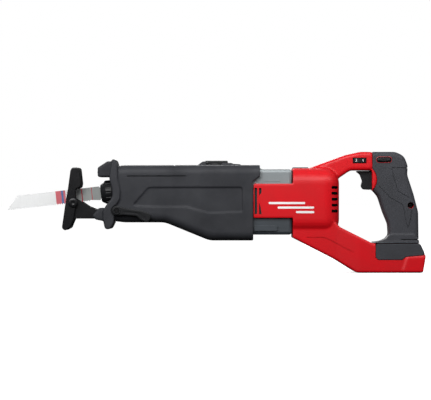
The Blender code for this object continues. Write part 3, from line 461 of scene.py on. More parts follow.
class Solid:
    """A mesh object while it is shaped; every size given to it is in millimetres."""

    def __init__(self, name: str, form: bmesh.types.BMesh, turn: Matrix | None = None) -> None:
        """Turn a finished bmesh, in millimetres, into an object at the origin.

        Args:
            name: Name of the object.
            form: The bmesh, which is freed.
            turn: Matrix in metres that puts the mesh in its place.
        """
        bmesh.ops.remove_doubles(form, verts=form.verts, dist=0.0005)
        bmesh.ops.recalc_face_normals(form, faces=form.faces)
        bmesh.ops.scale(form, verts=form.verts, vec=(MM, MM, MM))
        if turn is not None:
            bmesh.ops.transform(form, verts=form.verts, matrix=turn)
        mesh = bpy.data.meshes.new(name)
        form.to_mesh(mesh)
        form.free()
        self.item = bpy.data.objects.new(name, mesh)
        bpy.context.scene.collection.objects.link(self.item)

    @classmethod
    def plate(cls, name: str, outline: Outline, low: float, high: float, edge: float = 0.0,
              segments: int = 4, stations: Stations | None = None,
              turn: Matrix | None = None) -> "Solid":
        """Solid of constant outline from y = low to y = high.

        Args:
            name: Name of the object.
            outline: Corners (x, z).
            low: Lowest y, or -1 where stations set the width.
            high: Highest y, or 1 where stations set the width.
            edge: Radius of the rounded edges.
            segments: Segments in a rounded edge.
            stations: Half widths along x that the solid tapers to.
            turn: Matrix in metres that puts the mesh in its place.

        Returns:
            The solid.
        """
        form = extruded(outline, low, high)
        if stations:
            for x, _ in stations[1:-1]:
                everything = [*form.verts, *form.edges, *form.faces]
                bmesh.ops.bisect_plane(form, geom=everything, dist=0.001, plane_co=(x, 0, 0),
                                       plane_no=(1, 0, 0))
            for vert in form.verts:
                vert.co.y *= half_width(vert.co.x, stations)
        bmesh.ops.recalc_face_normals(form, faces=form.faces)
        cls.round_edges(form, edge, segments)
        return cls(name, form, turn)

    @classmethod
    def block(cls, name: str, low: Place, high: Place, edge: float = 0.0,
              segments: int = 4) -> "Solid":
        """Box between two corners.

        Args:
            name: Name of the object.
            low: One corner.
            high: The opposite corner.
            edge: Radius of the rounded edges.
            segments: Segments in a rounded edge.

        Returns:
            The solid.
        """
        form = bmesh.new()
        bmesh.ops.create_cube(form, size=1.0)
        bmesh.ops.scale(form, verts=form.verts, vec=[abs(b - a) for a, b in zip(low, high)])
        bmesh.ops.translate(form, verts=form.verts, vec=(Vector(low) + Vector(high)) / 2)
        cls.round_edges(form, edge, segments)
        return cls(name, form)

    @classmethod
    def rod(cls, name: str, start: Place, end: Place, radius: float, sides: int = 40, edge: float = 0.0,
            turn: Matrix | None = None) -> "Solid":
        """Cylinder from one point to another.

        Args:
            name: Name of the object.
            start: Middle of the first end.
            end: Middle of the other end.
            radius: Radius of the cylinder.
            sides: Number of sides.
            edge: Radius of the rounded rims.
            turn: Matrix in metres that puts the mesh in its place.

        Returns:
            The solid.
        """
        form = bmesh.new()
        line = Vector(end) - Vector(start)
        bmesh.ops.create_cone(form, cap_ends=True, segments=sides, radius1=radius, radius2=radius,
                              depth=line.length)
        spin = Vector((0, 0, 1)).rotation_difference(line).to_matrix().to_4x4()
        place = Matrix.Translation((Vector(end) + Vector(start)) / 2)
        bmesh.ops.transform(form, verts=form.verts, matrix=place @ spin)
        cls.round_edges(form, edge, 3, 50.0)
        return cls(name, form, turn)

    @classmethod
    def turned(cls, name: str, profile: Outline, turn: Matrix, steps: int = 64) -> "Solid":
        """Solid of revolution about the matrix's z axis.

        Args:
            name: Name of the object.
            profile: Points (radius, height); it closes on itself unless it starts on the axis.
            turn: Matrix in metres that puts the axis in its place.
            steps: Segments round the axis.

        Returns:
            The solid.
        """
        form = bmesh.new()
        verts = [form.verts.new((radius, 0.0, height)) for radius, height in profile]
        edges = [form.edges.new(pair) for pair in zip(verts, verts[1:])]
        if profile[0][0] > 0:
            edges.append(form.edges.new((verts[-1], verts[0])))
        bmesh.ops.spin(form, geom=[*verts, *edges], cent=(0, 0, 0), axis=(0, 0, 1), angle=math.tau,
                       steps=steps, use_merge=True)
        return cls(name, form, turn)

    @staticmethod
    def round_edges(form: bmesh.types.BMesh, width: float, segments: int, angle: float = 30.0) -> None:
        """Round the edges that are sharper than an angle in degrees."""
        if width <= 0:
            return
        sharp = [edge for edge in form.edges
                 if edge.is_manifold and abs(edge.calc_face_angle(0.0)) > math.radians(angle)]
        bmesh.ops.bevel(form, geom=sharp, offset=width, offset_type="OFFSET", affect="EDGES",
                        segments=segments, profile=0.5, material=-1, clamp_overlap=True)

    def combine(self, operation: str, tools: tuple["Solid", ...]) -> "Solid":
        """Add to, cut or keep part of the solid.

        Args:
            operation: UNION, DIFFERENCE or INTERSECT.
            tools: The other solids, which are used up.

        Returns:
            This solid.
        """
        for tool in tools:
            change = self.item.modifiers.new("combine", "BOOLEAN")
            change.operation = operation
            change.object = tool.item
        self.settle()
        for tool in tools:
            tool.remove()
        return self

    def join(self, *tools: "Solid") -> "Solid":
        """Add the other solids, which are used up."""
        return self.combine("UNION", tools)

    def cut(self, *tools: "Solid") -> "Solid":
        """Take away the other solids, which are used up."""
        return self.combine("DIFFERENCE", tools)

    def keep(self, *tools: "Solid") -> "Solid":
        """Keep only what lies inside the other solids, which are used up."""
        return self.combine("INTERSECT", tools)

    def moulded(self, voxel: float, passes: int) -> "Solid":
        """Flow the solid into one skin with filleted joins, as a moulded part has.

        Args:
            voxel: Grid size of the new skin.
            passes: Smoothing passes over it.

        Returns:
            This solid.
        """
        skin = self.item.modifiers.new("skin", "REMESH")
        skin.mode = "VOXEL"
        skin.voxel_size = voxel * MM
        fillet = self.item.modifiers.new("fillet", "SMOOTH")
        fillet.factor = 0.5
        fillet.iterations = passes
        self.settle()
        return self

    def copy(self, name: str) -> "Solid":
        """A second solid of the same shape."""
        twin = Solid.__new__(Solid)
        twin.item = bpy.data.objects.new(name, self.item.data.copy())
        bpy.context.scene.collection.objects.link(twin.item)
        return twin

    def settle(self) -> None:
        """Put what the modifiers make into the mesh."""
        bpy.context.view_layer.update()
        seen = self.item.evaluated_get(bpy.context.evaluated_depsgraph_get())
        made = bpy.data.meshes.new_from_object(seen)
        old = self.item.data
        self.item.modifiers.clear()
        self.item.data = made
        made.name = self.item.name
        bpy.data.meshes.remove(old)

    def remove(self) -> None:
        """Delete the solid."""
        mesh = self.item.data
        bpy.data.objects.remove(self.item, do_unlink=True)
        bpy.data.meshes.remove(mesh)

    def dress(self, finish: Finish, body: str, slot: str, *nodes: str, sharp: float = 32.0) -> "Solid":
        """Finish the piece and hang it on its body.

        Args:
            finish: Material of the piece.
            body: CAD body that it rides on.
            slot: The record's material slot; not used.
            nodes: CAD nodes that it stands for.
            sharp: Angle in degrees above which an edge stays sharp.

        Returns:
            This solid.
        """
        mesh = self.item.data
        mesh.materials.clear()
        mesh.materials.append(material_of(finish))
        mesh.shade_smooth()
        mesh.set_sharp_from_angle(angle=math.radians(sharp))
        if len(mesh.polygons) < EVEN_SHADING_FACES:
            even = self.item.modifiers.new("even_shading", "WEIGHTED_NORMAL")
            even.keep_sharp = True
        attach(self.item, body)
        if nodes:
            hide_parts(*nodes)
        LOG.info("%s: %d faces on %s", self.item.name, len(mesh.polygons), body)
        return self


# ---------------------------------------------------------------- boot and gear case

@dataclass
class Boot:
    """Rubber boot over the gear case, with the thick bead round its mouth.

    Attributes:
        halves: Half widths along x.
        edge: Radius of its long edges.
        panel_depth: How deep the side panels lie.
        seam: Width of the seam lines.
        seam_height: Height of the long seam line.
    """

    halves: Stations = ((-160.0, 33.0), (-85.0, 33.0), (-20.0, 43.0), (100.0, 43.0))
    edge: float = 11.0
    panel_depth: float = 1.5
    seam: float = 1.9
    seam_height: float = 127.4

    def body(self, name: str, grow: float) -> Solid:
        """The plain body, grown by a distance, with its slanted rear end."""
        top, bottom = 142.2, 42.5
        outline = [(-150.0, top), (90.0, top), (90.0, bottom), (-8.0, bottom), (-66.8, 66.3), (-150.0, 66.3)]
        stations = tuple((x, half + grow) for x, half in self.halves)
        body = Solid.plate(name, rounded(inset(outline, -grow), 30.0), -1.0, 1.0, self.edge + grow, 6,
                           stations)
        front = Solid.block("boot_front_trim", (-FAR, -WIDE, 0), (-132.0, WIDE, FAR))
        rear = Solid.plate("boot_rear_trim", [(58.6, 150.0), (58.6, 127.6), (49.0, 120.8), (50.0, 30.0),
                                              (150.0, 30.0), (150.0, 150.0)], -WIDE, WIDE)
        return body.cut(front, rear)

    def mouth_pieces(self) -> list[Solid]:
        """The bead, the hood over the lamp and the two lugs beside the mouth."""
        bead = rounded([(-136.9, 150.3), (-140.3, 124.6), (-136.3, 107.8), (-136.3, 99.4), (-143.6, 90.2),
                        (-148.6, 82.5), (-148.6, 70.0), (-146.0, 57.3), (-138.6, 57.3), (-134.0, 66.5),
                        (-133.0, 86.7), (-126.4, 96.0), (-125.4, 107.8), (-129.0, 124.6),
                        (-129.6, 143.0), (-131.6, 149.2)], 9.0)
        hood = rounded([(-156.3, 126.3), (-156.3, 139.0), (-143.5, 147.4), (-134.0, 147.4),
                        (-134.0, 126.3)], 3.0)
        lug = rounded([(-163.4, 75.0), (-153.8, 85.9), (-145.0, 84.9), (-145.0, 67.5), (-158.0, 70.0)], 3.0)
        return [Solid.plate("bead", bead, -36.4, 36.4, 3.2),
                Solid.plate("hood", hood, -22.0, 22.0, 3.2),
                Solid.plate("lug_left", lug, -32.8, -23.0, 2.4),
                Solid.plate("lug_right", lug, 23.0, 32.8, 2.4)]

    def knob_surround(self) -> list[Solid]:
        """The raised rubber round the selector knob: a ramp before it and a step behind it."""
        ramp = [(-26.0, 136.0), (-25.0, 141.6), (-17.5, 147.0), (-12.0, 147.6), (-12.0, 136.0)]
        step = [(8.0, 136.0), (8.0, 145.2), (21.0, 145.2), (24.0, 144.0), (33.6, 143.6), (33.6, 136.0)]
        return [Solid.plate("knob_ramp", ramp, -15.0, 15.0, 1.6),
                Solid.plate("knob_step", step, -19.0, 19.0, 1.6)]

    def relief(self, name: str, outline: Outline, depth: float) -> Solid:
        """Cutter that sinks an outline into both sides by an even depth."""
        tool = Solid.plate(name, outline, -WIDE, WIDE)
        return tool.cut(self.body(f"{name}_floor", -depth))

    def build(self) -> None:
        """Build and finish the boot."""
        panel = rounded([(-88.9, 112.8), (36.0, 113.2), (36.0, 79.5), (-10.0, 78.5), (-37.0, 86.4),
                         (-98.0, 87.0), (-110.6, 88.5)], 4.0)
        seam = ribbon([(-117.0, self.seam_height), (-39.0, self.seam_height)], self.seam)
        tick = ribbon([(-54.5, self.seam_height), (-54.5, 146.0)], self.seam)
        boot = self.body("boot_skin", 0.0)
        boot.join(*self.mouth_pieces(), *self.knob_surround())
        boot.cut(self.relief("side_panel", panel, self.panel_depth))
        boot.moulded(1.0, 3)
        case_halves = ((-160.0, 30.3), (-85.0, 30.3), (-20.0, 40.3), (42.0, 40.3), (49.0, 36.3),
                       (120.0, 36.3))
        case = inset([(-134.0, 139.0), (57.0, 139.0), (62.0, 136.5), (101.3, 136.5), (101.3, 50.2),
                      (38.0, 50.2), (28.0, 45.5), (-6.0, 45.5), (-67.3, 69.3), (-134.0, 69.3)], -GAP)
        mouth = [(-175.0, 71.0), (-134.15, 71.0), (-134.15, 76.9), (-117.5, 76.9), (-117.5, 128.0),
                 (-137.0, 126.0), (-175.0, 122.0)]
        x, z = LEVER_PIVOT
        boot.cut(
            Solid.plate("case_room", case, -1.0, 1.0, 4.3, 4, case_halves),
            Solid.plate("mouth", mouth, -24.0, 24.0, 2.0),
            self.relief("seam", seam, 1.8),
            self.relief("seam_tick", tick, 0.8),
            Solid.rod("orbit_hole", (KNOB_X, 0, 130), (KNOB_X, 0, 160), 4.3),
            Solid.rod("knob_room", (KNOB_X, 0, 142.3), (KNOB_X, 0, 160), 17.0, 72),
            Solid.rod("lever_hole", (x, -WIDE, z), (x, 29, z), 2.9),
            Solid.rod("lever_room", (x, -WIDE, z), (x, -33.7, z), 8.0),
            Solid.rod("lamp_hole", (-160, 0, 133), (-147, 0, 133), 3.8))
        boot.item.name = "rubber_boot"
        boot.dress(BOOT_RUBBER, "frame", "boot_rubber", "boot")


@dataclass
class CaseRibs:
    """Cast ribs on the gear case behind the boot.

    Attributes:
        face: Half width of the case there.
        height: How far the lower ribs stand out.
        fin: How far the upper fins stand out.
        bite: How deep both reach into the case.
    """

    face: float = 36.0
    height: float = 2.0
    fin: float = 0.6
    bite: float = 0.1

    def build(self) -> None:
        """Build the ribs on both sides."""
        lower = rounded([(50.6, 55.2), (78.0, 55.2), (83.4, 56.6), (80.6, 58.9), (83.4, 61.2), (78.0, 62.4),
                         (50.6, 62.4)], 1.0, 3)
        upper = rounded([(62.5, 120.9), (86.0, 120.9), (86.0, 122.1), (66.0, 122.1)], 0.5, 2)
        for name, side in SIDES:
            root, rib, fin = (side * (self.face + out) for out in (-self.bite, self.height, self.fin))
            # The lower ribs take the magnesium painted dark as shade; the upper fins take the plain
            # magnesium.
            Solid.plate(f"case_rib_{name}", lower, min(root, rib), max(root, rib), 0.9).dress(
                MAGNESIUM_IN_PAINTED_SHADE, "frame", "dark_casting")
            Solid.plate(f"case_fin_{name}", upper, min(root, fin), max(root, fin), 0.3, 2).dress(
                MAGNESIUM, "frame", "magnesium_casting")


# ---------------------------------------------------------------- nose

@dataclass
class Shoe:
    """Pivoting shoe with its two pins.

    Attributes:
        half: Half width of the shoe.
        wall: Thickness of its side flanges.
        front: Thickness of its front plate.
        pivot: Pin line (x, z).
    """

    half: float = 25.5
    wall: float = 3.5
    front: float = 3.5
    pivot: tuple[float, float] = (-188.5, 92.3)

    def build(self) -> None:
        """Build and finish the shoe and its pins."""
        face = [(-192.2, 134.8), (-195.6, 109.6), (-198.9, 90.9), (-203.5, 59.0)]
        back = [(-199.5, 55.2), (-192.2, 59.0), (-187.2, 70.8), (-184.0, 90.0), (-184.7, 104.0),
                (-185.0, 110.5), (-178.6, 112.6), (-177.7, 118.0), (-180.0, 139.2), (-190.0, 139.2)]
        shoe = Solid.plate("rocking_shoe", rounded(face + back, 4.0), -self.half, self.half, 1.6)
        room = [(-187.5, 150.0), *[(x + self.front, z) for x, z in face], (-199.5, 40.0), (-150.0, 40.0),
                (-150.0, 150.0)]
        x, z = self.pivot
        inner = self.half - self.wall
        shoe.cut(Solid.plate("shoe_room", room, -inner, inner),
                 Solid.plate("shoe_slot", rounded([(-220.0, 64.0), (-150.0, 64.0), (-150.0, 126.0),
                                                   (-220.0, 126.0)], 1.0), -5.0, 5.0, 2.4),
                 Solid.rod("pin_hole", (x, -WIDE, z), (x, WIDE, z), 4.3))
        shoe.dress(BLACK_OXIDE, "shoe", "black_steel", "shoe")
        head = [(0.0, 27.4), (2.2, 27.4), (2.6, 27.6), (4.7, 27.6), (5.8, 27.2), (6.4, 26.4), (6.4, 25.8),
                (4.0, 25.8), (4.0, 17.2), (0.0, 17.2)]
        for name, side in SIDES:
            turn = Matrix.Translation((x * MM, 0, z * MM)) @ Matrix.Rotation(-side * math.pi / 2, 4, "X")
            Solid.turned(f"shoe_rivet_{name}", head, turn, 48).dress(
                BLACK_OXIDE, "shoe", "black_steel", f"shoe_pin_{name}")


@dataclass
class ReleaseLever:
    """Shoe release lever: a boss, an arm that dips to its thumb pad, and a dished middle.

    Attributes:
        low: y of its outer face.
        high: y of its inner face.
    """

    low: float = -39.0
    high: float = -33.9

    def build(self) -> None:
        """Build and finish the lever."""
        x, z = LEVER_PIVOT
        outline = (arc(LEVER_PIVOT, 6.6, 250, 62, 16) + [(-118.0, 85.2), (-97.0, 82.0)]
                   + arc((-91.4, 73.4), 6.2, 58, -115, 12) + [(-99.5, 70.0), (-104.0, 74.6), (-121.0, 76.0)])
        lever = Solid.plate("shoe_release_lever", rounded(outline, 4.0, 4), self.low, self.high, 1.2)
        arm = rounded([(-121.5, 82.0), (-100.0, 79.4), (-93.0, 74.4), (-91.5, 71.6), (-93.5, 69.8),
                       (-98.0, 72.6), (-103.0, 77.0), (-121.5, 78.6)], 1.5, 3)
        lever.cut(Solid.plate("lever_dish", arm, self.low - 2.0, self.low + 0.8, 0.4, 2),
                  Solid.rod("lever_bore", (x, -WIDE, z), (x, -20, z), 2.9))
        turn = Matrix.Translation((x * MM, 0, z * MM)) @ Matrix.Rotation(math.pi / 2, 4, "X")
        ring = [(3.1, 38.5), (5.0, 38.5), (5.0, 39.6), (4.5, 40.0), (3.5, 40.0), (3.1, 39.6)]
        lever.join(Solid.turned("lever_ring", ring, turn, 48))
        lever.dress(ACETAL, "lever", "black_plastic", "release_lever")


@dataclass
class ClampCollar:
    """Turned collar of the quick blade clamp, fluted for wet fingers.

    Attributes:
        flutes: Number of flutes.
        flute_radius: Radius of a flute.
        flute_line: Distance of the flutes' middles from the axis.
    """

    flutes: int = 16
    flute_radius: float = 1.7
    flute_line: float = 16.7

    def build(self) -> None:
        """Build and finish the collar."""
        profile = [(15.2, -138.2), (16.0, -139.0), (16.0, -146.2), (15.4, -147.2), (12.9, -151.4),
                   (12.3, -152.3), (11.3, -153.4), (10.8, -153.6), (10.1, -153.6), (9.8, -153.2),
                   (9.8, -147.2), (12.8, -147.2), (12.8, -138.2)]
        collar = Solid.turned("fluted_collar", profile, SPINDLE_LINE, 96)
        rods = []
        for index in range(self.flutes):
            turn = SPINDLE @ Matrix.Rotation(math.tau * index / self.flutes, 4, "X")
            rods.append(Solid.rod(f"flute_{index}", (-147.6, 0, self.flute_line),
                                  (-139.6, 0, self.flute_line), self.flute_radius, 16, 0.8, turn))
        collar.cut(*rods)
        collar.dress(ACETAL, "collar", "black_plastic", "clamp_collar")


@dataclass(frozen=True)
class BladePaint:
    """Epoxy paint over a steel blade, with plain printed bands and a bare shank.

    Attributes:
        name: Material name.
        start: Where the first band starts along the spindle, just ahead of the blade's tip.
        length: Distance that the bands cover.
        bands: Where each band starts, its sRGB hex colour and whether it is bare metal.
    """

    name: str = "epoxy_painted_steel"
    start: float = -282.0
    length: float = 145.0
    bands: tuple[tuple[float, str, bool], ...] = (
        (start, "#e4e5e5", False), (-214.5, "#c8606a", False), (-207.0, "#4a6a9c", False),
        (-204.0, "#c8606a", False), (-201.5, "#e0e1e1", False), (-188.0, "#9a9d9c", True),
        (-180.5, "#a8434d", False), (-178.8, "#9a9d9c", True), (-166.5, "#a8434d", False),
        (-165.4, "#929594", True))

    def material(self) -> bpy.types.Material:
        """Build the material.

        Returns:
            Procedural material whose bands follow the tilted blade.
        """
        made = bpy.data.materials.new(self.name)
        made.use_nodes = True
        tree = made.node_tree
        shader = tree.nodes["Principled BSDF"]
        place = add_node(tree, "ShaderNodeTexCoord").outputs["Object"]
        straight = add_node(tree, "ShaderNodeMapping", {"vector_type": "TEXTURE"},
                            {"Vector": place, "Location": (0.0, 0.0, SPINDLE_HEIGHT * MM),
                             "Rotation": (0.0, -TILT, 0.0)}).outputs["Vector"]
        along = add_node(tree, "ShaderNodeSeparateXYZ", inputs={"Vector": straight}).outputs["X"]
        share = add_node(tree, "ShaderNodeMapRange",
                         inputs={"Value": along, "From Min": self.start * MM,
                                 "From Max": (self.start + self.length) * MM}).outputs["Result"]
        ramps = []
        for metal in (False, True):
            ramp = add_node(tree, "ShaderNodeValToRGB", inputs={"Fac": share})
            ramp.color_ramp.interpolation = "CONSTANT"
            stops = ramp.color_ramp.elements
            while len(stops) < len(self.bands):
                stops.new(1.0)
            for stop, (where, colour, bare) in zip(stops, self.bands):
                stop.position = (where - self.start) / self.length
                stop.color = (float(bare),) * 3 + (1.0,) if metal else linear(colour)
            ramps.append(ramp.outputs["Color"])
        # Rub marks from sawing lie across the blade, a few tenths of a millimetre apart; here 0.7 mm.
        lines = add_node(tree, "ShaderNodeMapping", inputs={"Vector": straight, "Scale": (1.0, 1.0, 0.05)})
        rubs = add_node(tree, "ShaderNodeTexNoise", {"noise_dimensions": "3D"},
                        {"Vector": lines.outputs["Vector"], "Scale": 1.0 / (0.7 * MM), "Detail": 4.0})
        tone = add_node(tree, "ShaderNodeMapRange", inputs={"Value": rubs.outputs["Fac"], "To Min": 0.9,
                                                            "To Max": 1.06}).outputs["Result"]
        grey = add_node(tree, "ShaderNodeCombineColor", inputs={0: tone, 1: tone, 2: tone})
        colour = add_node(tree, "ShaderNodeMix", {"data_type": "RGBA", "blend_type": "MULTIPLY"},
                          {"Factor": 1.0, "A": ramps[0], "B": grey.outputs["Color"]})
        rough = add_node(tree, "ShaderNodeMapRange", inputs={"Value": rubs.outputs["Fac"], "To Min": 0.3,
                                                             "To Max": 0.5})
        bump = add_node(tree, "ShaderNodeBump",
                        inputs={"Height": rubs.outputs["Fac"], "Distance": 0.006 * MM})
        tree.links.new(colour.outputs[2], shader.inputs["Base Color"])
        tree.links.new(ramps[1], shader.inputs["Metallic"])
        tree.links.new(rough.outputs["Result"], shader.inputs["Roughness"])
        tree.links.new(bump.outputs["Normal"], shader.inputs["Normal"])
        return made


@dataclass
class Blade:
    """Saw blade with set teeth along its lower edge and a narrower tang in the clamp.

    Attributes:
        tip: Front end along the spindle.
        back: Rear end of its full width.
        tang_end: Rear end of the tang.
        half: Half of its depth.
        tang_half: Half of the tang's depth.
        thickness: Sheet thickness.
        pitch: Distance from tooth to tooth.
        gullet: Depth of the gullets.
        tooth_set: How far the teeth lean out, left and right by turns.
        first_tooth: Rear end of the toothed edge.
    """

    tip: float = -280.0
    back: float = -155.5
    tang_end: float = -138.5
    half: float = 9.2
    tang_half: float = 5.5
    thickness: float = 1.2
    pitch: float = 3.0
    gullet: float = 1.4
    tooth_set: float = 0.25
    first_tooth: float = -168.0

    def outline(self) -> Outline:
        """Outline in the spindle's frame, with a hollow before each tooth."""
        root = self.gullet - self.half
        points = [(self.tip, root), (self.tip + 15.7, self.half), (self.back, self.half),
                  (self.back + 2.0, 6.2), (self.back + 3.0, self.tang_half), (self.tang_end, self.tang_half),
                  (self.tang_end, -self.tang_half), (self.back + 3.0, -self.tang_half),
                  (self.back + 2.0, -6.2), (self.back, -self.half)]
        along = self.first_tooth
        while along - self.pitch > self.tip:
            points += [(along, root + 0.15), (along - 0.5, root), (along - 1.1, root + 0.1),
                       (along - self.pitch, -self.half)]
            along -= self.pitch
        return points

    def build(self) -> None:
        """Build and finish the blade."""
        form = extruded(self.outline(), -self.thickness / 2, self.thickness / 2)
        for vert in form.verts:
            if vert.co.z < 0.01 - self.half and vert.co.x < self.first_tooth - 1:
                lean = 1 if round(-vert.co.x / self.pitch) % 2 else -1
                vert.co.y += lean * self.tooth_set
        blade = Solid("saw_blade", form, SPINDLE)
        blade.dress(GROUND_STEEL, "spindle", "painted_blade", "blade")
        blade.item.data.materials[0] = BladePaint().material()


# ---------------------------------------------------------------- housing and handle

@dataclass
class Housing:
    """Left and right halves of the red nylon housing, from the motor barrel to the battery foot.

    Attributes:
        front: Front face of the barrel.
        half: Half width of the barrel.
        rear: Rear face of the barrel.
        bottom: Underside of the barrel.
        top: Top of the barrel.
        corner: Radius of the barrel's long corners.
        wall: Wall thickness.
        vents: Number of rear vents.
        vent_top: Height of the highest rear vent.
        vent_pitch: Height from vent to vent.
        print_rise: How far the printed bars stand out of the flank.
        bars: Printed bars: front end, rear end and height of each.
    """

    front: float = 102.0
    half: float = 40.0
    rear: float = 163.8
    bottom: float = 50.0
    top: float = 138.2
    corner: float = 20.0
    wall: float = 3.0
    vents: int = 5
    vent_top: float = 112.6
    vent_pitch: float = 7.8
    print_rise: float = 0.12
    bars: tuple[Place, ...] = ((70.0, 118.0, 92.0), (82.0, 130.0, 86.0), (106.0, 130.0, 80.0))

    def foot_body(self, name: str, grow: float) -> Solid:
        """The sloping keel and the battery foot, grown by a distance."""
        outline = [(80.0, 76.0), (80.0, 52.0), (101.0, 46.5), (158.8, 16.8), (186.0, 0.0), (273.6, 0.0),
                   (277.7, 23.4), (270.5, 38.6), (207.8, 38.6), (164.5, 60.3), (150.0, 76.0)]
        stations = ((60.0, 36.0 + grow), (160.0, 36.0 + grow), (190.0, 38.0 + grow), (300.0, 38.0 + grow))
        return Solid.plate(name, inset(outline, -grow), -1.0, 1.0, 4.6 + grow, 4, stations)

    def skin(self) -> Solid:
        """The outside of both halves in one."""
        skin = Solid.block("housing_skin", (70, -self.half, self.bottom), (self.rear, self.half, self.top),
                           self.corner, 8)
        arm = Solid.plate("arm", rounded([(112.0, 118.0), (112.0, 138.0), (124.0, 138.3), (171.1, 155.4),
                                          (192.0, 160.0), (214.0, 160.0), (214.0, 135.3), (179.0, 135.3),
                                          (self.rear, 125.0), (152.0, 118.0)], 14.0), -18.0, 18.0, 5.5)
        arm.cut(Solid.block("arm_end", (207.9, -WIDE, 0), (FAR * 2, WIDE, FAR)))
        inner = inset(GRIP_LINE, 3.0)
        core = Solid.plate("core", [(200.0, 157.0), *inner[REAR], (267.1, 20.0), (229.0, 20.0),
                                    *inner[FRONT], inner[-1], (200.0, 110.3)], -14.5, 14.5, 3.0, 3)
        guard = Solid.plate("guard", arc(GUARD, GUARD_RADIUS, -48, 48, 20), -17.6, 17.6, 3.0, 3)
        heel = Solid.plate("heel", [(246.4, 3.0), (252.6, 21.2), (276.6, 22.0), (277.2, 20.0), (273.8, 0.6),
                                    (247.0, 0.6)], -39.2, 39.2, 1.4, 3)
        skin.join(arm, self.foot_body("foot", 0.0), core, guard, heel)
        skin.cut(Solid.block("front_trim", (0, -WIDE, 0), (self.front, WIDE, FAR)),
                 Solid.block("under_arm", (190.0, -20, 95.0), (207.9, 20, 135.2)))
        tongue = rounded([(49.8, 72.4), (110.0, 72.4), (110.0, 117.6), (49.8, 117.6)], 1.5, 3)
        skin.join(Solid.plate("tongue_left", tongue, -40.0, -36.3, 0.8, 2),
                  Solid.plate("tongue_right", tongue, 36.3, 40.0, 0.8, 2))
        return skin.moulded(1.1, 4)

    def cavities(self) -> list[Solid]:
        """Rooms inside the housing."""
        wall = self.wall
        return [
            Solid.block("motor_bay", (70, wall - self.half, self.bottom + wall),
                        (self.rear - wall, self.half - wall, self.top - wall), self.corner - wall, 4),
            Solid.plate("keel_room", [(102.5, 66.0), (102.5, 50.5), (160.6, 20.5), (188.0, 18.0),
                                      (203.0, 18.0), (203.0, 36.6), (163.0, 56.6), (150.0, 66.0)],
                        -32.5, 32.5),
            Solid.plate("arm_room", [(150.0, 122.0), (150.0, 142.0), (171.6, 151.6), (193.0, 155.4),
                                     (212.0, 155.4), (212.0, 138.6), (178.0, 138.6), (160.0, 126.0)],
                        -15.0, 15.0),
            Solid.plate("grip_room", [(210.0, 153.5), (236.0, 153.5), (246.0, 135.0), (247.0, 124.0),
                                      (253.0, 104.0), (255.0, 80.0), (256.0, 30.0), (236.5, 30.0),
                                      (236.0, 62.0), (229.0, 81.0), (222.0, 104.0), (210.0, 112.0)],
                        -11.5, 11.5)]

    def openings(self) -> list[Solid]:
        """Vents, windows, the battery slot and the rooms for the controls."""
        pad = inset(PAD_LINE, -0.45)
        pad[0], pad[-1] = (pad[0][0], 41.0), (pad[-1][0] - 1.0, 41.0)
        holes = [Solid.block("rail_room", (170, -31, 6), (262, 31, 14)),
                 Solid.block("rail_mouth", (170, -27, -5), (262, 27, 7)),
                 Solid.plate("pad_room_left", pad, -WIDE, -23.7),
                 Solid.plate("pad_room_right", pad, 23.7, WIDE),
                 Solid.block("trigger_room", *TRIGGER_ROOM),
                 Solid.block("lock_room", *LOCK_ROOM, 3.2),
                 Solid.block("dial_window", (182.0, -30, 144.6), (200.4, -10, 152.2), 0.6, 2),
                 Solid.rod("dial_room", (*DIAL, 144.6), (*DIAL, 152.2), DIAL_RADIUS + 2 * GAP, 64)]
        for index in range(self.vents):
            height = self.vent_top - self.vent_pitch * index
            holes.append(Solid.block(f"rear_vent_{index}", (153.1, -WIDE, height - 1.9),
                                     (161.4, WIDE, height + 1.9), 0.9, 2))
        front_vents = ([(51.5, 77.4), (54.9, 77.4), (54.9, 111.9), (51.5, 111.9)],
                       [(57.4, 77.2), (60.8, 77.2), (59.6, 86.0), (57.8, 92.5), (57.4, 92.5)],
                       [(57.4, 111.8), (57.4, 100.6), (58.2, 103.0), (60.8, 106.0), (60.4, 111.8)])
        for index, vent in enumerate(front_vents):
            holes.append(Solid.plate(f"front_vent_{index}", vent, -WIDE, WIDE, 0.4, 2))
        return holes

    def creases(self) -> Solid:
        """Cutter for the styling line along both flanks of the keel."""
        line = ribbon([(120.5, 46.4), (143.0, 46.4), (150.0, 43.4), (182.0, 26.6)], 1.5)
        tool = Solid.plate("keel_line", line, -WIDE, WIDE)
        return tool.cut(self.foot_body("keel_line_floor", -0.9))

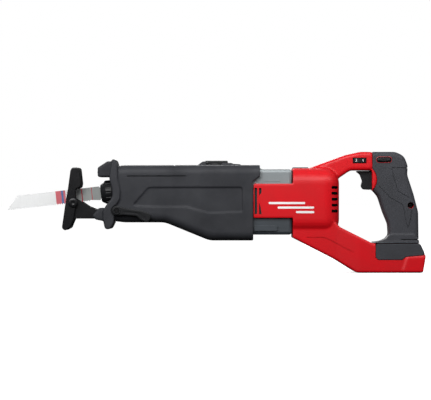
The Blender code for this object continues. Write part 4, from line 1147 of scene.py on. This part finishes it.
    def build(self) -> None:
        """Build and finish both halves."""
        skin = self.skin()
        skin.cut(*self.cavities())
        bosses = [Solid.rod("rear_bearing_seat", (150.0, 0, MOTOR_HEIGHT), (162.0, 0, MOTOR_HEIGHT), 14.0)]
        holes = [Solid.rod("rear_bearing_bore", (140, 0, MOTOR_HEIGHT), (158.8, 0, MOTOR_HEIGHT), 11.3)]
        for name, (x, z, half, radius, head) in SCREWS.items():
            bosses.append(Solid.rod(f"boss_{name}", (x, 1 - half, z), (x, half - 1, z), radius, 24))
            holes += [Solid.rod(f"hole_{name}", (x, head * half, z), (x, head * (5 - half), z), 2.2, 16),
                      Solid.rod(f"recess_{name}", (x, head * FAR, z), (x, head * (half - 6), z), 4.0, 32)]
        skin.join(*bosses)
        skin.cut(*self.openings(), self.creases(), *holes)
        other = skin.copy("housing_skin_right")
        for half, (name, side) in zip((skin, other), SIDES):
            half.keep(Solid.block(f"{name}_space", (-FAR, side * GAP / 2, -FAR), (2 * FAR, side * FAR, FAR)))
            half.item.name = f"housing_shell_{name}"
            half.dress(RED_NYLON, "frame", "red_nylon", f"housing_{name}", sharp=40.0)
        Solid.block("barrel_pad", (102.6, -19.0, 137.9), (123.0, 19.0, 139.3), 0.6, 3).dress(
            BOOT_RUBBER, "frame", "boot_rubber")
        # Painted shade: black plates behind the rear vents and a thin black sheet behind the front vents make
        # the slots read dark inside.
        for name, side in SIDES:
            rear_shade_plate = Solid.block(f"painted_shade_rear_vents_{name}", (149.0, side * 17.0, 72.0),
                                 (160.5, side * 18.6, 119.0), 0.4, 2)
            front_shade_sheet = Solid.block(f"painted_shade_front_vents_{name}", (50.2, side * 36.05, 75.0), (63.5, side * 36.27, 114.5))
            for dark in (rear_shade_plate, front_shade_sheet):
                dark.dress(SWITCH_PLASTIC, "frame", "black_plastic")
        self.mark_flank()
        self.drive_screws()

    def mark_flank(self) -> None:
        """Plain printed bars on the left and right flank of the barrel."""
        for name, side in SIDES:
            faces = sorted((side * (self.half - 0.1), side * (self.half + self.print_rise)))
            for index, (x0, x1, z) in enumerate(self.bars):
                bar = rounded([(x0, z - 1.4), (x1, z - 1.4), (x1, z + 1.4), (x0, z + 1.4)], 1.2, 3)
                Solid.plate(f"printed_bar_{name}_{index}", bar, *faces).dress(
                    PRINT_WHITE, "frame", "red_nylon")

    def drive_screws(self) -> None:
        """Housing screws with a domed head and a six-lobed recess."""
        for name, (x, z, half, _, head) in SCREWS.items():
            length = 2 * half - 13
            turn = (Matrix.Translation((x * MM, head * (half - 6.3) * MM, z * MM))
                    @ Matrix.Rotation(head * math.pi / 2, 4, "X"))
            profile = [(0.0, length), (1.4, length), (1.8, length - 0.6), (1.8, -GAP), (3.5, -GAP),
                       (3.5, -1.7), (3.2, -2.4), (2.4, -2.9), (0.0, -3.1)]
            screw = Solid.turned(f"shell_screw_{name}", profile, turn, 32)
            lobes = [Solid.rod(f"lobe_{name}_{index}", (x, y, -5), (x, y, -1.3), 0.55, 12, turn=turn)
                     for index, (x, y) in enumerate(arc((0.0, 0.0), 1.05, 0, 300, 5))]
            lobes.append(Solid.rod(f"lobe_{name}_middle", (0, 0, -5), (0, 0, -1.3), 1.1, 24, turn=turn))
            screw.cut(*lobes)
            screw.dress(BLACK_OXIDE, "frame", "steel", f"housing_screw_{name}")


@dataclass
class Grip:
    """Rubber moulded over the handle, and the rubber pads on the foot.

    Attributes:
        half: Half width of the handle.
        edge: Radius of its long edges.
        line: Width of the moulded lines.
        line_depth: Depth of the moulded lines.
    """

    half: float = 18.0
    edge: float = 8.5
    line: float = 1.3
    line_depth: float = 1.0

    def body(self, name: str, grow: float) -> Solid:
        """The handle's outside, grown by a distance, with a flat front and bottom end."""
        outline = [(190.0, 160.0), *GRIP_LINE[REAR], (270.1, 20.0), (221.0, 20.0), (226.0, 40.5),
                   *GRIP_LINE[FRONT], (190.0, 127.3)]
        body = Solid.plate(name, rounded(inset(outline, -grow), 18.0), -self.half - grow, self.half + grow,
                           self.edge + grow, 6)
        return body.cut(Solid.block(f"{name}_front", (150.0, -WIDE, 0), (208.3, WIDE, FAR)),
                        Solid.block(f"{name}_end", (150.0, -WIDE, -20), (FAR * 2, WIDE, 39.0)))

    def base(self) -> list[Solid]:
        """The flare at the handle's foot and the apron over the top of the battery foot."""
        flare = rounded([(209.5, 38.7), (211.0, 40.2), (219.0, 41.6), (226.0, 44.6), (231.0, 50.5),
                         (262.0, 50.5), (269.0, 45.0), (270.8, 38.7)], 3.0)
        apron = [(209.5, 38.8), (210.5, 40.4), (268.0, 40.4), (270.2, 38.8)]
        return [Solid.plate("flare", flare, -18.9, 18.9, 1.4, 3),
                Solid.plate("apron", apron, -36.8, 36.8, 0.7, 2)]

    def lines(self) -> Solid:
        """Cutter for the moulded lines on both sides."""
        runs = [[(233.6, 137.7), (237.0, 125.0), (242.2, 107.6), (250.0, 103.0), (257.4, 99.1)],
                [(234.2, 138.6), (262.0, 138.6)],
                [(217.4, 114.3), (231.7, 99.1), (248.8, 89.6), (252.6, 68.6), (255.5, 59.1), (258.5, 70.0),
                 (260.5, 82.0)],
                [(246.0, 43.6), (275.0, 43.6)]]
        first, *others = [Solid.plate(f"grip_line_{index}", ribbon(run, self.line), -30.0, 30.0)
                          for index, run in enumerate(runs)]
        return first.join(*others).cut(self.body("grip_lines_floor", -self.line_depth))

    def build(self) -> None:
        """Build and finish the grips and the foot pads."""
        skin = self.body("grip_skin", 0.0)
        skin.join(*self.base())
        skin.moulded(0.8, 3)
        inner = inset(GRIP_LINE, 2.7)
        screw_rooms = []
        for name in ("grip_top", "grip"):
            x, z, _, _, head = SCREWS[name]
            screw_rooms.append(Solid.rod(f"{name}_screw_room", (x, head * FAR, z), (x, head * 4, z), 4.3, 32))
        x, z = GUARD
        skin.cut(
            self.lines(),
            Solid.plate("core_room", [(200.0, 157.3), *inner[REAR], (267.4, 20.0), (228.5, 20.0),
                                      *inner[FRONT], (200.0, 109.8)], -14.8, 14.8),
            Solid.rod("guard_room", (x, -WIDE, z), (x, WIDE, z), GUARD_RADIUS + GAP, 96),
            Solid.block("grip_trigger_room", *TRIGGER_ROOM),
            Solid.block("grip_lock_room", *LOCK_ROOM, 3.2),
            *screw_rooms)
        other = skin.copy("grip_skin_right")
        for half, (name, side) in zip((skin, other), SIDES):
            half.keep(Solid.block(f"{name}_grip_space", (0, side * GAP / 2, -FAR),
                                  (2 * FAR, side * FAR, FAR)))
            half.item.name = f"rubber_grip_{name}"
            half.dress(GRIP_RUBBER, "frame", "grip_rubber", f"grip_{name}", sharp=40.0)
        for name, low, high in (("left", -38.0, -24.0), ("right", 24.0, 38.0)):
            pad = Solid.plate(f"rubber_foot_pad_{name}", rounded(PAD_LINE, 4.0), low, high, 2.2, 4)
            pad.dress(GRIP_RUBBER, "frame", "grip_rubber", f"foot_pad_{name}")


# ---------------------------------------------------------------- controls

@dataclass
class Controls:
    """Trigger, lock button, speed dial and orbit selector.

    Attributes:
        steps: Numbers on the dial.
        step_angle: Degrees from one number to the next.
        notches: Notches in each rim of the dial.
    """

    steps: int = 6
    step_angle: float = 30.0
    notches: int = 24

    def build(self) -> None:
        """Build and finish all controls."""
        outline = [(186.0, 134.8), (192.5, 130.0), (195.6, 121.4), (193.6, 114.3), (196.6, 110.0),
                   (205.4, 109.6), (213.0, 112.0), (213.0, 134.8)]
        trigger = Solid.plate("pull_trigger", rounded(outline, 5.0), -8.0, 8.0, 1.8)
        trigger.cut(Solid.rod("spring_pocket", (205.0, 0, 124.0), (220.0, 0, 124.0), 5.3))
        trigger.dress(ACETAL, "trigger", "black_plastic", "trigger")
        button = Solid.block("lock_slide", (214.0, -20.5, 146.3), (233.0, 16.5, 152.7), 2.9, 5)
        button.cut(Solid.block("lock_dish", (218.0, -24, 148.3), (229.0, -20.0, 150.7), 0.9, 3))
        button.dress(ACETAL, "lock", "black_plastic", "lock_button")
        ring = [(212.9, 145.2), (234.1, 145.2), (234.1, 153.8), (212.9, 153.8)]
        hole = [(213.7, 146.0), (233.3, 146.0), (233.3, 153.0), (213.7, 153.0)]
        bezel = Solid.plate("lock_bezel", rounded(ring, 4.0), -18.5, -14.6, 0.5, 2)
        bezel.cut(Solid.plate("lock_bezel_hole", rounded(hole, 3.6), -30.0, -4.0))
        bezel.dress(DARK_RED_NYLON, "frame", "red_nylon")
        self.build_dial()
        self.build_knob()

    def build_dial(self) -> None:
        """Thumbwheel with notched rims and numbers printed round it."""
        x, y = DIAL
        place = Matrix.Translation((x * MM, y * MM, 0))
        tip = DIAL_RADIUS
        profile = [(0.0, 145.2), (tip - 0.6, 145.2), (tip, 145.8), (tip, 151.0), (tip - 0.6, 151.6),
                   (0.0, 151.6)]
        wheel = Solid.turned("thumb_dial", profile, place, 96)
        cutters = []
        for index in range(self.notches):
            spin = place @ Matrix.Rotation(math.tau * index / self.notches, 4, "Z")
            for low, high in ((145.0, 146.1), (150.7, 152.0)):
                cutters.append(Solid.rod(f"notch_{index}_{low:.0f}", (tip + 0.1, 0, low),
                                         (tip + 0.1, 0, high), 0.7, 10, turn=spin))
        wheel.cut(*cutters)
        wheel.dress(ACETAL, "dial", "black_plastic", "speed_dial")
        for number in range(1, self.steps + 1):
            turn = math.radians(self.step_angle * (number - (self.steps + 1) / 2))
            spin = (place @ Matrix.Rotation(turn, 4, "Z")
                    @ Matrix.Translation((0, (-0.02 - tip) * MM, 148.4 * MM))
                    @ Matrix.Rotation(math.pi / 2, 4, "X"))
            self.print_number(str(number), spin)

    def print_number(self, text: str, place: Matrix) -> None:
        """Print a number on the dial's rim."""
        letters = bpy.data.curves.new(f"dial_number_{text}", "FONT")
        letters.body = text
        letters.size = 4.8 * MM
        letters.extrude = 0.06 * MM
        letters.align_x = "CENTER"
        letters.align_y = "CENTER"
        flat = bpy.data.objects.new(f"dial_number_{text}", letters)
        bpy.context.scene.collection.objects.link(flat)
        bpy.context.view_layer.update()
        mesh = bpy.data.meshes.new_from_object(flat.evaluated_get(bpy.context.evaluated_depsgraph_get()))
        bpy.data.objects.remove(flat, do_unlink=True)
        form = bmesh.new()
        form.from_mesh(mesh)
        bpy.data.meshes.remove(mesh)
        bmesh.ops.scale(form, verts=form.verts, vec=(1 / MM, 1 / MM, 1 / MM))
        Solid(f"dial_number_{text}", form, place).dress(PRINT_WHITE, "dial", "black_plastic")

    def build_knob(self) -> None:
        """Orbit selector: a low knob with a finger bar and a white pointer."""
        place = Matrix.Translation((KNOB_X * MM, 0, 0))
        profile = [(0.0, 142.6), (16.4, 142.6), (16.2, 145.0), (15.4, 146.0), (0.0, 146.0)]
        knob = Solid.turned("selector_knob", profile, place, 96)
        knob.join(Solid.block("knob_bar", (KNOB_X - 15.2, -4.4, 144.0), (KNOB_X + 15.2, 4.4, 148.4), 1.4))
        knob.dress(ACETAL, "selector", "black_plastic", "orbit_knob")
        front, rear = KNOB_X - 14.0, KNOB_X - 7.0
        pointer = rounded([(front, -0.8), (rear, -0.8), (rear, 0.8), (front, 0.8)], 0.7, 3)
        lay = Matrix.Rotation(-math.pi / 2, 4, "X")
        Solid.plate("knob_pointer", pointer, -148.46, -148.3, turn=lay).dress(
            PRINT_WHITE, "selector", "black_plastic")


# ---------------------------------------------------------------- carried-over nodes

CARRIED: dict[Finish, tuple[str, ...]] = {
    MAGNESIUM: ("gear_case_upper",),
    # Painted shade: the lower gear case is the same magnesium as the upper one, painted darker as shade.
    MAGNESIUM_IN_PAINTED_SHADE: ("gear_case_lower",),
    BLACK_OXIDE: ("shoe_post", "clamp_core", "rotor", "counterweight", "lever_shaft"),
    GROUND_STEEL: ("spindle", "orbit_shaft", "motor_shaft", "pinion", "crank_gear",
                   "gear_bearing", "front_motor_bearing", "rear_motor_bearing", "clamp_spring",
                   "trigger_spring", "case_screw_front_left", "case_screw_front_right",
                   "case_screw_rear_left", "case_screw_rear_right"),
    SINTERED_BRONZE: ("front_bushing", "rear_bushing"),
    BOOT_RUBBER: ("spindle_seal",),
    ENAMELLED_COPPER: ("stator",),
    TINNED_COPPER: ("terminal_left", "terminal_middle", "terminal_right"),
    SWITCH_PLASTIC: ("fan", "switch_body", "motor_controller", "terminal_block"),
    LENS: ("lamp_lens",),
}


def finish_carried_nodes(nodes: dict[str, bpy.types.Object]) -> None:
    """Give every CAD node that still shows its real material.

    Args:
        nodes: The frame's nodes by name.
    """
    for finish, names in CARRIED.items():
        for name in names:
            for slot in nodes[name].material_slots:
                slot.link = "OBJECT"
                slot.material = material_of(finish)
            LOG.info("%s: carried over in %s", name, finish.name)


# ---------------------------------------------------------------- studio

@dataclass
class Studio:
    """Pale floor, soft light and a level camera square to the left side.

    Attributes:
        lens: Focal length in millimetres.
        sensor: Sensor width in millimetres.
        span: Width that the picture covers at the near flank, in millimetres.
        flank: y of the near flank.
        height: Height that the camera looks at.
        sky_levels: How bright the sky is at each height, from -1 straight down to 1 straight up.
    """

    lens: float = 200.0
    sensor: float = 36.0
    span: float = 569.0
    flank: float = -33.0
    height: float = 96.0
    sky_levels: tuple[tuple[float, float], ...] = (
        (-1.0, 0.02), (-0.1, 0.04), (0.05, 0.15), (0.3, 0.35), (0.7, 0.4), (1.0, 0.35))

    def camera(self) -> None:
        """Put the camera level with the tool, far off on a long lens."""
        data = bpy.data.cameras.new("camera")
        data.lens = self.lens
        data.sensor_width = self.sensor
        data.clip_end = 50.0
        distance = self.span * self.lens / self.sensor
        camera = bpy.data.objects.new("camera", data)
        camera.location = Vector((0.0, self.flank - distance, self.height)) * MM
        camera.rotation_euler = (math.pi / 2, 0.0, 0.0)
        bpy.context.scene.collection.objects.link(camera)
        bpy.context.scene.camera = camera

    def light(self, name: str, place: Place, aim: Place, size: tuple[float, float], power: float) -> None:
        """Add a soft box.

        Args:
            name: Name of the light.
            place: Where it stands, in millimetres.
            aim: What it points at, in millimetres.
            size: Width and height in metres.
            power: Power in watts.
        """
        data = bpy.data.lights.new(name, "AREA")
        data.shape = "RECTANGLE"
        data.size, data.size_y = size
        data.energy = power
        lamp = bpy.data.objects.new(name, data)
        lamp.location = Vector(place) * MM
        lamp.rotation_mode = "QUATERNION"
        lamp.rotation_quaternion = (Vector(aim) - Vector(place)).to_track_quat("-Z", "Y")
        bpy.context.scene.collection.objects.link(lamp)

    def floor(self) -> None:
        """Lay a plain pale floor that lifts no light onto the underside."""
        form = bmesh.new()
        bmesh.ops.create_circle(form, cap_ends=True, segments=64, radius=30000.0)
        bmesh.ops.scale(form, verts=form.verts, vec=(MM, MM, MM))
        mesh = bpy.data.meshes.new("floor")
        form.to_mesh(mesh)
        form.free()
        floor = bpy.data.objects.new("floor", mesh)
        bpy.context.scene.collection.objects.link(floor)
        paint = bpy.data.materials.new("matt_floor_paint")
        paint.use_nodes = True
        shader = paint.node_tree.nodes["Principled BSDF"]
        shader.inputs["Base Color"].default_value = linear("#f4f4f4")
        shader.inputs["Roughness"].default_value = 1.0
        shader.inputs["Specular IOR Level"].default_value = 0.0
        shader.inputs["Emission Color"].default_value = (1.0, 1.0, 1.0, 1.0)
        shader.inputs["Emission Strength"].default_value = 0.7
        mesh.materials.append(paint)
        floor.location.z = -0.0005
        floor.visible_diffuse = False
        floor.visible_glossy = False

    def sky(self) -> None:
        """Soft light from above that fades out below the horizon, before a plain white backdrop."""
        world = bpy.data.worlds.new("studio")
        bpy.context.scene.world = world
        world.use_nodes = True
        tree = world.node_tree
        backdrop = tree.nodes["Background"]
        up = add_node(tree, "ShaderNodeTexCoord").outputs["Generated"]
        height = add_node(tree, "ShaderNodeSeparateXYZ", inputs={"Vector": up}).outputs["Z"]
        share = add_node(tree, "ShaderNodeMapRange",
                         inputs={"Value": height, "From Min": -1.0, "From Max": 1.0}).outputs["Result"]
        ramp = add_node(tree, "ShaderNodeValToRGB", inputs={"Fac": share})
        stops = ramp.color_ramp.elements
        while len(stops) < len(self.sky_levels):
            stops.new(1.0)
        for stop, (where, level) in zip(stops, self.sky_levels):
            stop.position = (where + 1.0) / 2
            stop.color = (level, level, level, 1.0)
        seen = add_node(tree, "ShaderNodeLightPath").outputs["Is Camera Ray"]
        strength = add_node(tree, "ShaderNodeMath", {"operation": "MAXIMUM"},
                            {0: ramp.outputs["Color"], 1: seen})
        tree.links.new(strength.outputs["Value"], backdrop.inputs["Strength"])
        backdrop.inputs["Color"].default_value = (1.0, 1.0, 1.0, 1.0)

    def build(self) -> None:
        """Set up the whole studio."""
        scene = bpy.context.scene
        scene.view_settings.view_transform = "Standard"
        scene.view_settings.look = "None"
        self.camera()
        self.floor()
        self.sky()
        self.light("strip_box", (0.0, -290.0, 350.0), (0.0, -30.0, 100.0), (1.1, 0.12), 2.1)
        self.light("side_box", (-500.0, -1700.0, 900.0), (0.0, 0.0, 90.0), (1.2, 0.8), 19.0)
        self.light("far_box", (-500.0, 1700.0, 900.0), (0.0, 0.0, 90.0), (1.2, 0.8), 20.0)


# ---------------------------------------------------------------- assembly

def main() -> None:
    """Build every piece around the frame."""
    logging.basicConfig(level=logging.INFO, format="%(name)s: %(message)s")
    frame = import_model()
    Studio().build()
    finish_carried_nodes(frame["nodes"])
    for maker in (Boot(), CaseRibs(), Shoe(), ReleaseLever(), ClampCollar(), Blade(), Housing(), Grip(),
                  Controls()):
        maker.build()


if __name__ == "__main__":
    main()
